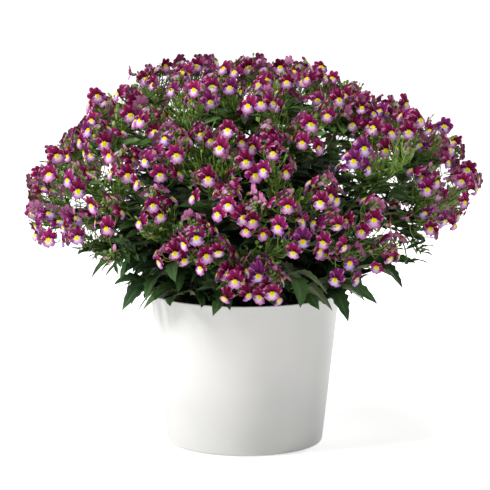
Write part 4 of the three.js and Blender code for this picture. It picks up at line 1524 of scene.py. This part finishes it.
def pot_profile():
    inner_top = POT_TOP_RADIUS - POT_WALL
    inner_base = POT_BASE_RADIUS - POT_WALL
    corners = [(0, 0), (POT_BASE_RADIUS, 0), (POT_TOP_RADIUS, POT_HEIGHT),
               (inner_top, POT_HEIGHT), (inner_base, POT_FLOOR), (0, POT_FLOOR)]
    profile = [corners[0]]
    for i, radius in enumerate(POT_ROUNDING, start=1):
        profile += rounded(corners[i], corners[i - 1], corners[i + 1], radius)
    return profile + [corners[-1]]


def pot_material():
    material, nodes, feed = new_material(
        "white plastic", Specular_IOR_Level=0.5, Coat_Roughness=0.25)
    wide, fine = nodes.noise(9.0), nodes.noise(600.0)
    feed("Base Color", nodes.mix("f6f5f3", ("ebebe9", wide.smooth(0.35, 0.75)),
                                 ("dddcd8", fine.smooth(0.62, 0.8) * 0.25)))
    feed("Roughness", 0.34 + 0.12 * wide)
    feed("Normal", nodes.bump(wide * 0.5 + fine * 0.05, 0.0008, 0.25))
    return material


pot = new_object("white_pot", turned_mesh("white pot", pot_profile(), POT_SIDES))
pot.data.materials.append(pot_material())
print("The pot has", settle(pot, "pot"), "triangles")

# %% [markdown]
# ## The potting mix
# Dark peat with coarse crumbs fills the pot to just under its rim. Little of it shows between
# the stems, so a low mound with noise and a few hundred scattered crumbs is enough.

# %% The potting mix
CRUMBS = 240
CRUMB_RADIUS = 0.0011
SOIL_RELIEF = 0.004
SOIL_RINGS = 26
SOIL_SIDES = 72


def soil_profile():
    """Just inside the pot's wall, and crowned a little at the middle."""
    def inside(height):
        share = height / POT_HEIGHT
        wall = POT_BASE_RADIUS + (POT_TOP_RADIUS - POT_BASE_RADIUS) * share
        return wall - POT_WALL - 2 * FIT_GAP

    floor = POT_FLOOR + FIT_GAP
    top = [(inside(SOIL_TOP) * s, SOIL_TOP + SOIL_CROWN * (1 - s * s) * 0.8)
           for s in np.linspace(1, 0, SOIL_RINGS)]
    return [(0, floor), (inside(floor), floor)] + top


def crumb_tree():
    tree, nodes, given = new_tree("crumble the soil", {
        "Top": "Float", "Relief": "Float", "Crumbs": "Float", "Seed": "Int",
        "Soil": "Material"})
    spot = nodes.add("GeometryNodeInputPosition")
    height = nodes.add("ShaderNodeSeparateXYZ", spot).out("Z")
    top = nodes.add("FunctionNodeCompare", height, given.out("Top"), data_type="FLOAT",
                    operation="GREATER_THAN")
    rough = nodes.add("ShaderNodeTexNoise", spot, 160.0, 4.0)
    lift = nodes.add("ShaderNodeCombineXYZ", 0.0, 0.0, (rough - 0.5) * given.out("Relief"))
    ground = nodes.add("GeometryNodeSetPosition", given.out("Geometry"), top, None, lift)
    spots = nodes.add("GeometryNodeDistributePointsOnFaces", ground, top, given.out("Crumbs"),
                      given.out("Seed"))

    def between(low, high):
        return nodes.add("FunctionNodeRandomValue", low, high, None, given.out("Seed"),
                         data_type="FLOAT_VECTOR")

    lump = nodes.add("GeometryNodeMeshIcoSphere", CRUMB_RADIUS, 1)
    size = between((0.5, 0.5, 0.3), (1.6, 1.4, 1.0))
    turn = nodes.add("FunctionNodeEulerToRotation", between((0, 0, 0), (6, 6, 6)))
    crumbs = nodes.add("GeometryNodeInstanceOnPoints", spots, None, lump, None, None, turn,
                       size)
    whole = nodes.add("GeometryNodeJoinGeometry", [ground, crumbs])
    whole = nodes.add("GeometryNodeRealizeInstances", whole)
    whole = nodes.add("GeometryNodeSetMaterial", whole, None, given.out("Soil"))
    nodes.add("NodeGroupOutput", whole)
    return tree


def soil_material():
    material, nodes, feed = new_material("potting mix", Specular_IOR_Level=0.3)
    coarse, fine = nodes.noise(140.0, 4.0), nodes.noise(900.0, 3.0)
    feed("Base Color", nodes.mix("241a12", ("4a3626", coarse.smooth(0.35, 0.7)),
                                 ("7b6247", fine.smooth(0.6, 0.75) * 0.6)))
    feed("Roughness", 0.8 + 0.15 * fine)
    feed("Normal", nodes.bump(coarse + fine * 0.5, 0.0015, 0.8))
    return material


soil = new_object("potting_mix", turned_mesh("potting mix", soil_profile(), SOIL_SIDES))
soil_area = pi * (POT_TOP_RADIUS - POT_WALL) ** 2
soil_inputs = {"Top": SOIL_TOP - 0.001, "Relief": SOIL_RELIEF, "Crumbs": CRUMBS / soil_area,
               "Seed": SEED, "Soil": soil_material()}
soil.data = finished_mesh(soil, crumb_tree(), soil_inputs)
print("The potting mix has", settle(soil, "soil"), "triangles")

# %% [markdown]
# ## Floor, light and camera
# The photograph is a studio shot on white, taken from a little above the rim with a long
# lens. A broad soft light stands high at the left, so the pot is brightest at its left edge
# and falls off to the right. A light from above opens up the flowers, one from behind at the
# right gives the pot its bright right edge, and the white room lifts the shadows.

# %% Floor
WHITE = (1, 1, 1, 1)
FLOOR_SIZE = 12.0
FLOOR_DROP = 0.0005


def floor_material():
    material, nodes, feed = new_material("white sweep", Specular_IOR_Level=0.2, Roughness=0.9,
                                         Emission_Strength=1.0)
    feed("Base Color", nodes.mix("f4f4f4", ("f1f1f0", nodes.noise(3.0))))
    far = nodes.vector("LENGTH", nodes.spot(), out="Value")
    seen = nodes.add("ShaderNodeLightPath").out("Is Camera Ray")
    feed("Emission Color", nodes.mix((0.12, 0.12, 0.12, 1), ((0.58, 0.58, 0.58, 1), seen),
                                     (WHITE, far.smooth(0.3, 1.2))))
    return material


floor_mesh = bpy.data.meshes.new("floor")
corners = [(x * FLOOR_SIZE, y * FLOOR_SIZE, -FLOOR_DROP)
           for x, y in ((-1, -1), (1, -1), (1, 1), (-1, 1))]
floor_mesh.from_pydata(corners, [], [(0, 1, 2, 3)])
floor_mesh.materials.append(floor_material())
floor = new_object("floor", floor_mesh)
print("The floor is", 2 * FLOOR_SIZE, "m wide")

# %% Light and camera
AIM = np.array([0.0, 0.0, 0.2])
LIGHTS = {  # place, width and power
    "key light": ((-2.0, -0.8, 1.6), 0.9, 49.0),
    "top light": ((0.1, -0.4, 2.4), 1.2, 20.0),
    "edge light": ((1.15, 1.64, 0.5), 0.6, 24.0),
}


def white_room(strength):
    world = bpy.data.worlds.new("white room")
    world.use_nodes = True
    nodes = Nodes(world.node_tree)
    world.node_tree.nodes.clear()
    seen = nodes.add("ShaderNodeLightPath").out("Is Camera Ray")
    light = nodes.add("ShaderNodeBackground", WHITE, strength)
    plain = nodes.add("ShaderNodeBackground", WHITE, 1.0)
    nodes.add("ShaderNodeOutputWorld", nodes.add("ShaderNodeMixShader", seen, light, plain))
    bpy.context.scene.world = world


def soft_light(name, stand, width, power):
    data = bpy.data.lights.new(name, "AREA")
    data.shape, data.size, data.energy = "DISK", width, power
    axes = frame_of(np.array(stand) - AIM, UP)
    turn = Matrix(np.column_stack(axes)).to_4x4()
    new_object(name, data).matrix_world = Matrix.Translation(stand) @ turn


def studio_camera(stand, tilt, focal_length):
    data = bpy.data.cameras.new("camera")
    data.lens, data.sensor_width, data.clip_end = focal_length, 36.0, 50.0
    camera = new_object("camera", data)
    camera.location = stand
    camera.rotation_euler = (radians(tilt), 0, 0)
    bpy.context.scene.camera = camera


white_room(strength=0.18)
for name, settings in LIGHTS.items():
    soft_light(name, *settings)
studio_camera((0.0, -2.055, 0.485), tilt=81.7, focal_length=163.0)
bpy.context.scene.view_settings.view_transform = "Standard"
bpy.context.scene.view_settings.look = "None"
print("Camera,", len(LIGHTS), "soft lights and a white room")

# %% [markdown]
# ## The size of the finished plant
# The plain model and the finished plant should fill the same box.
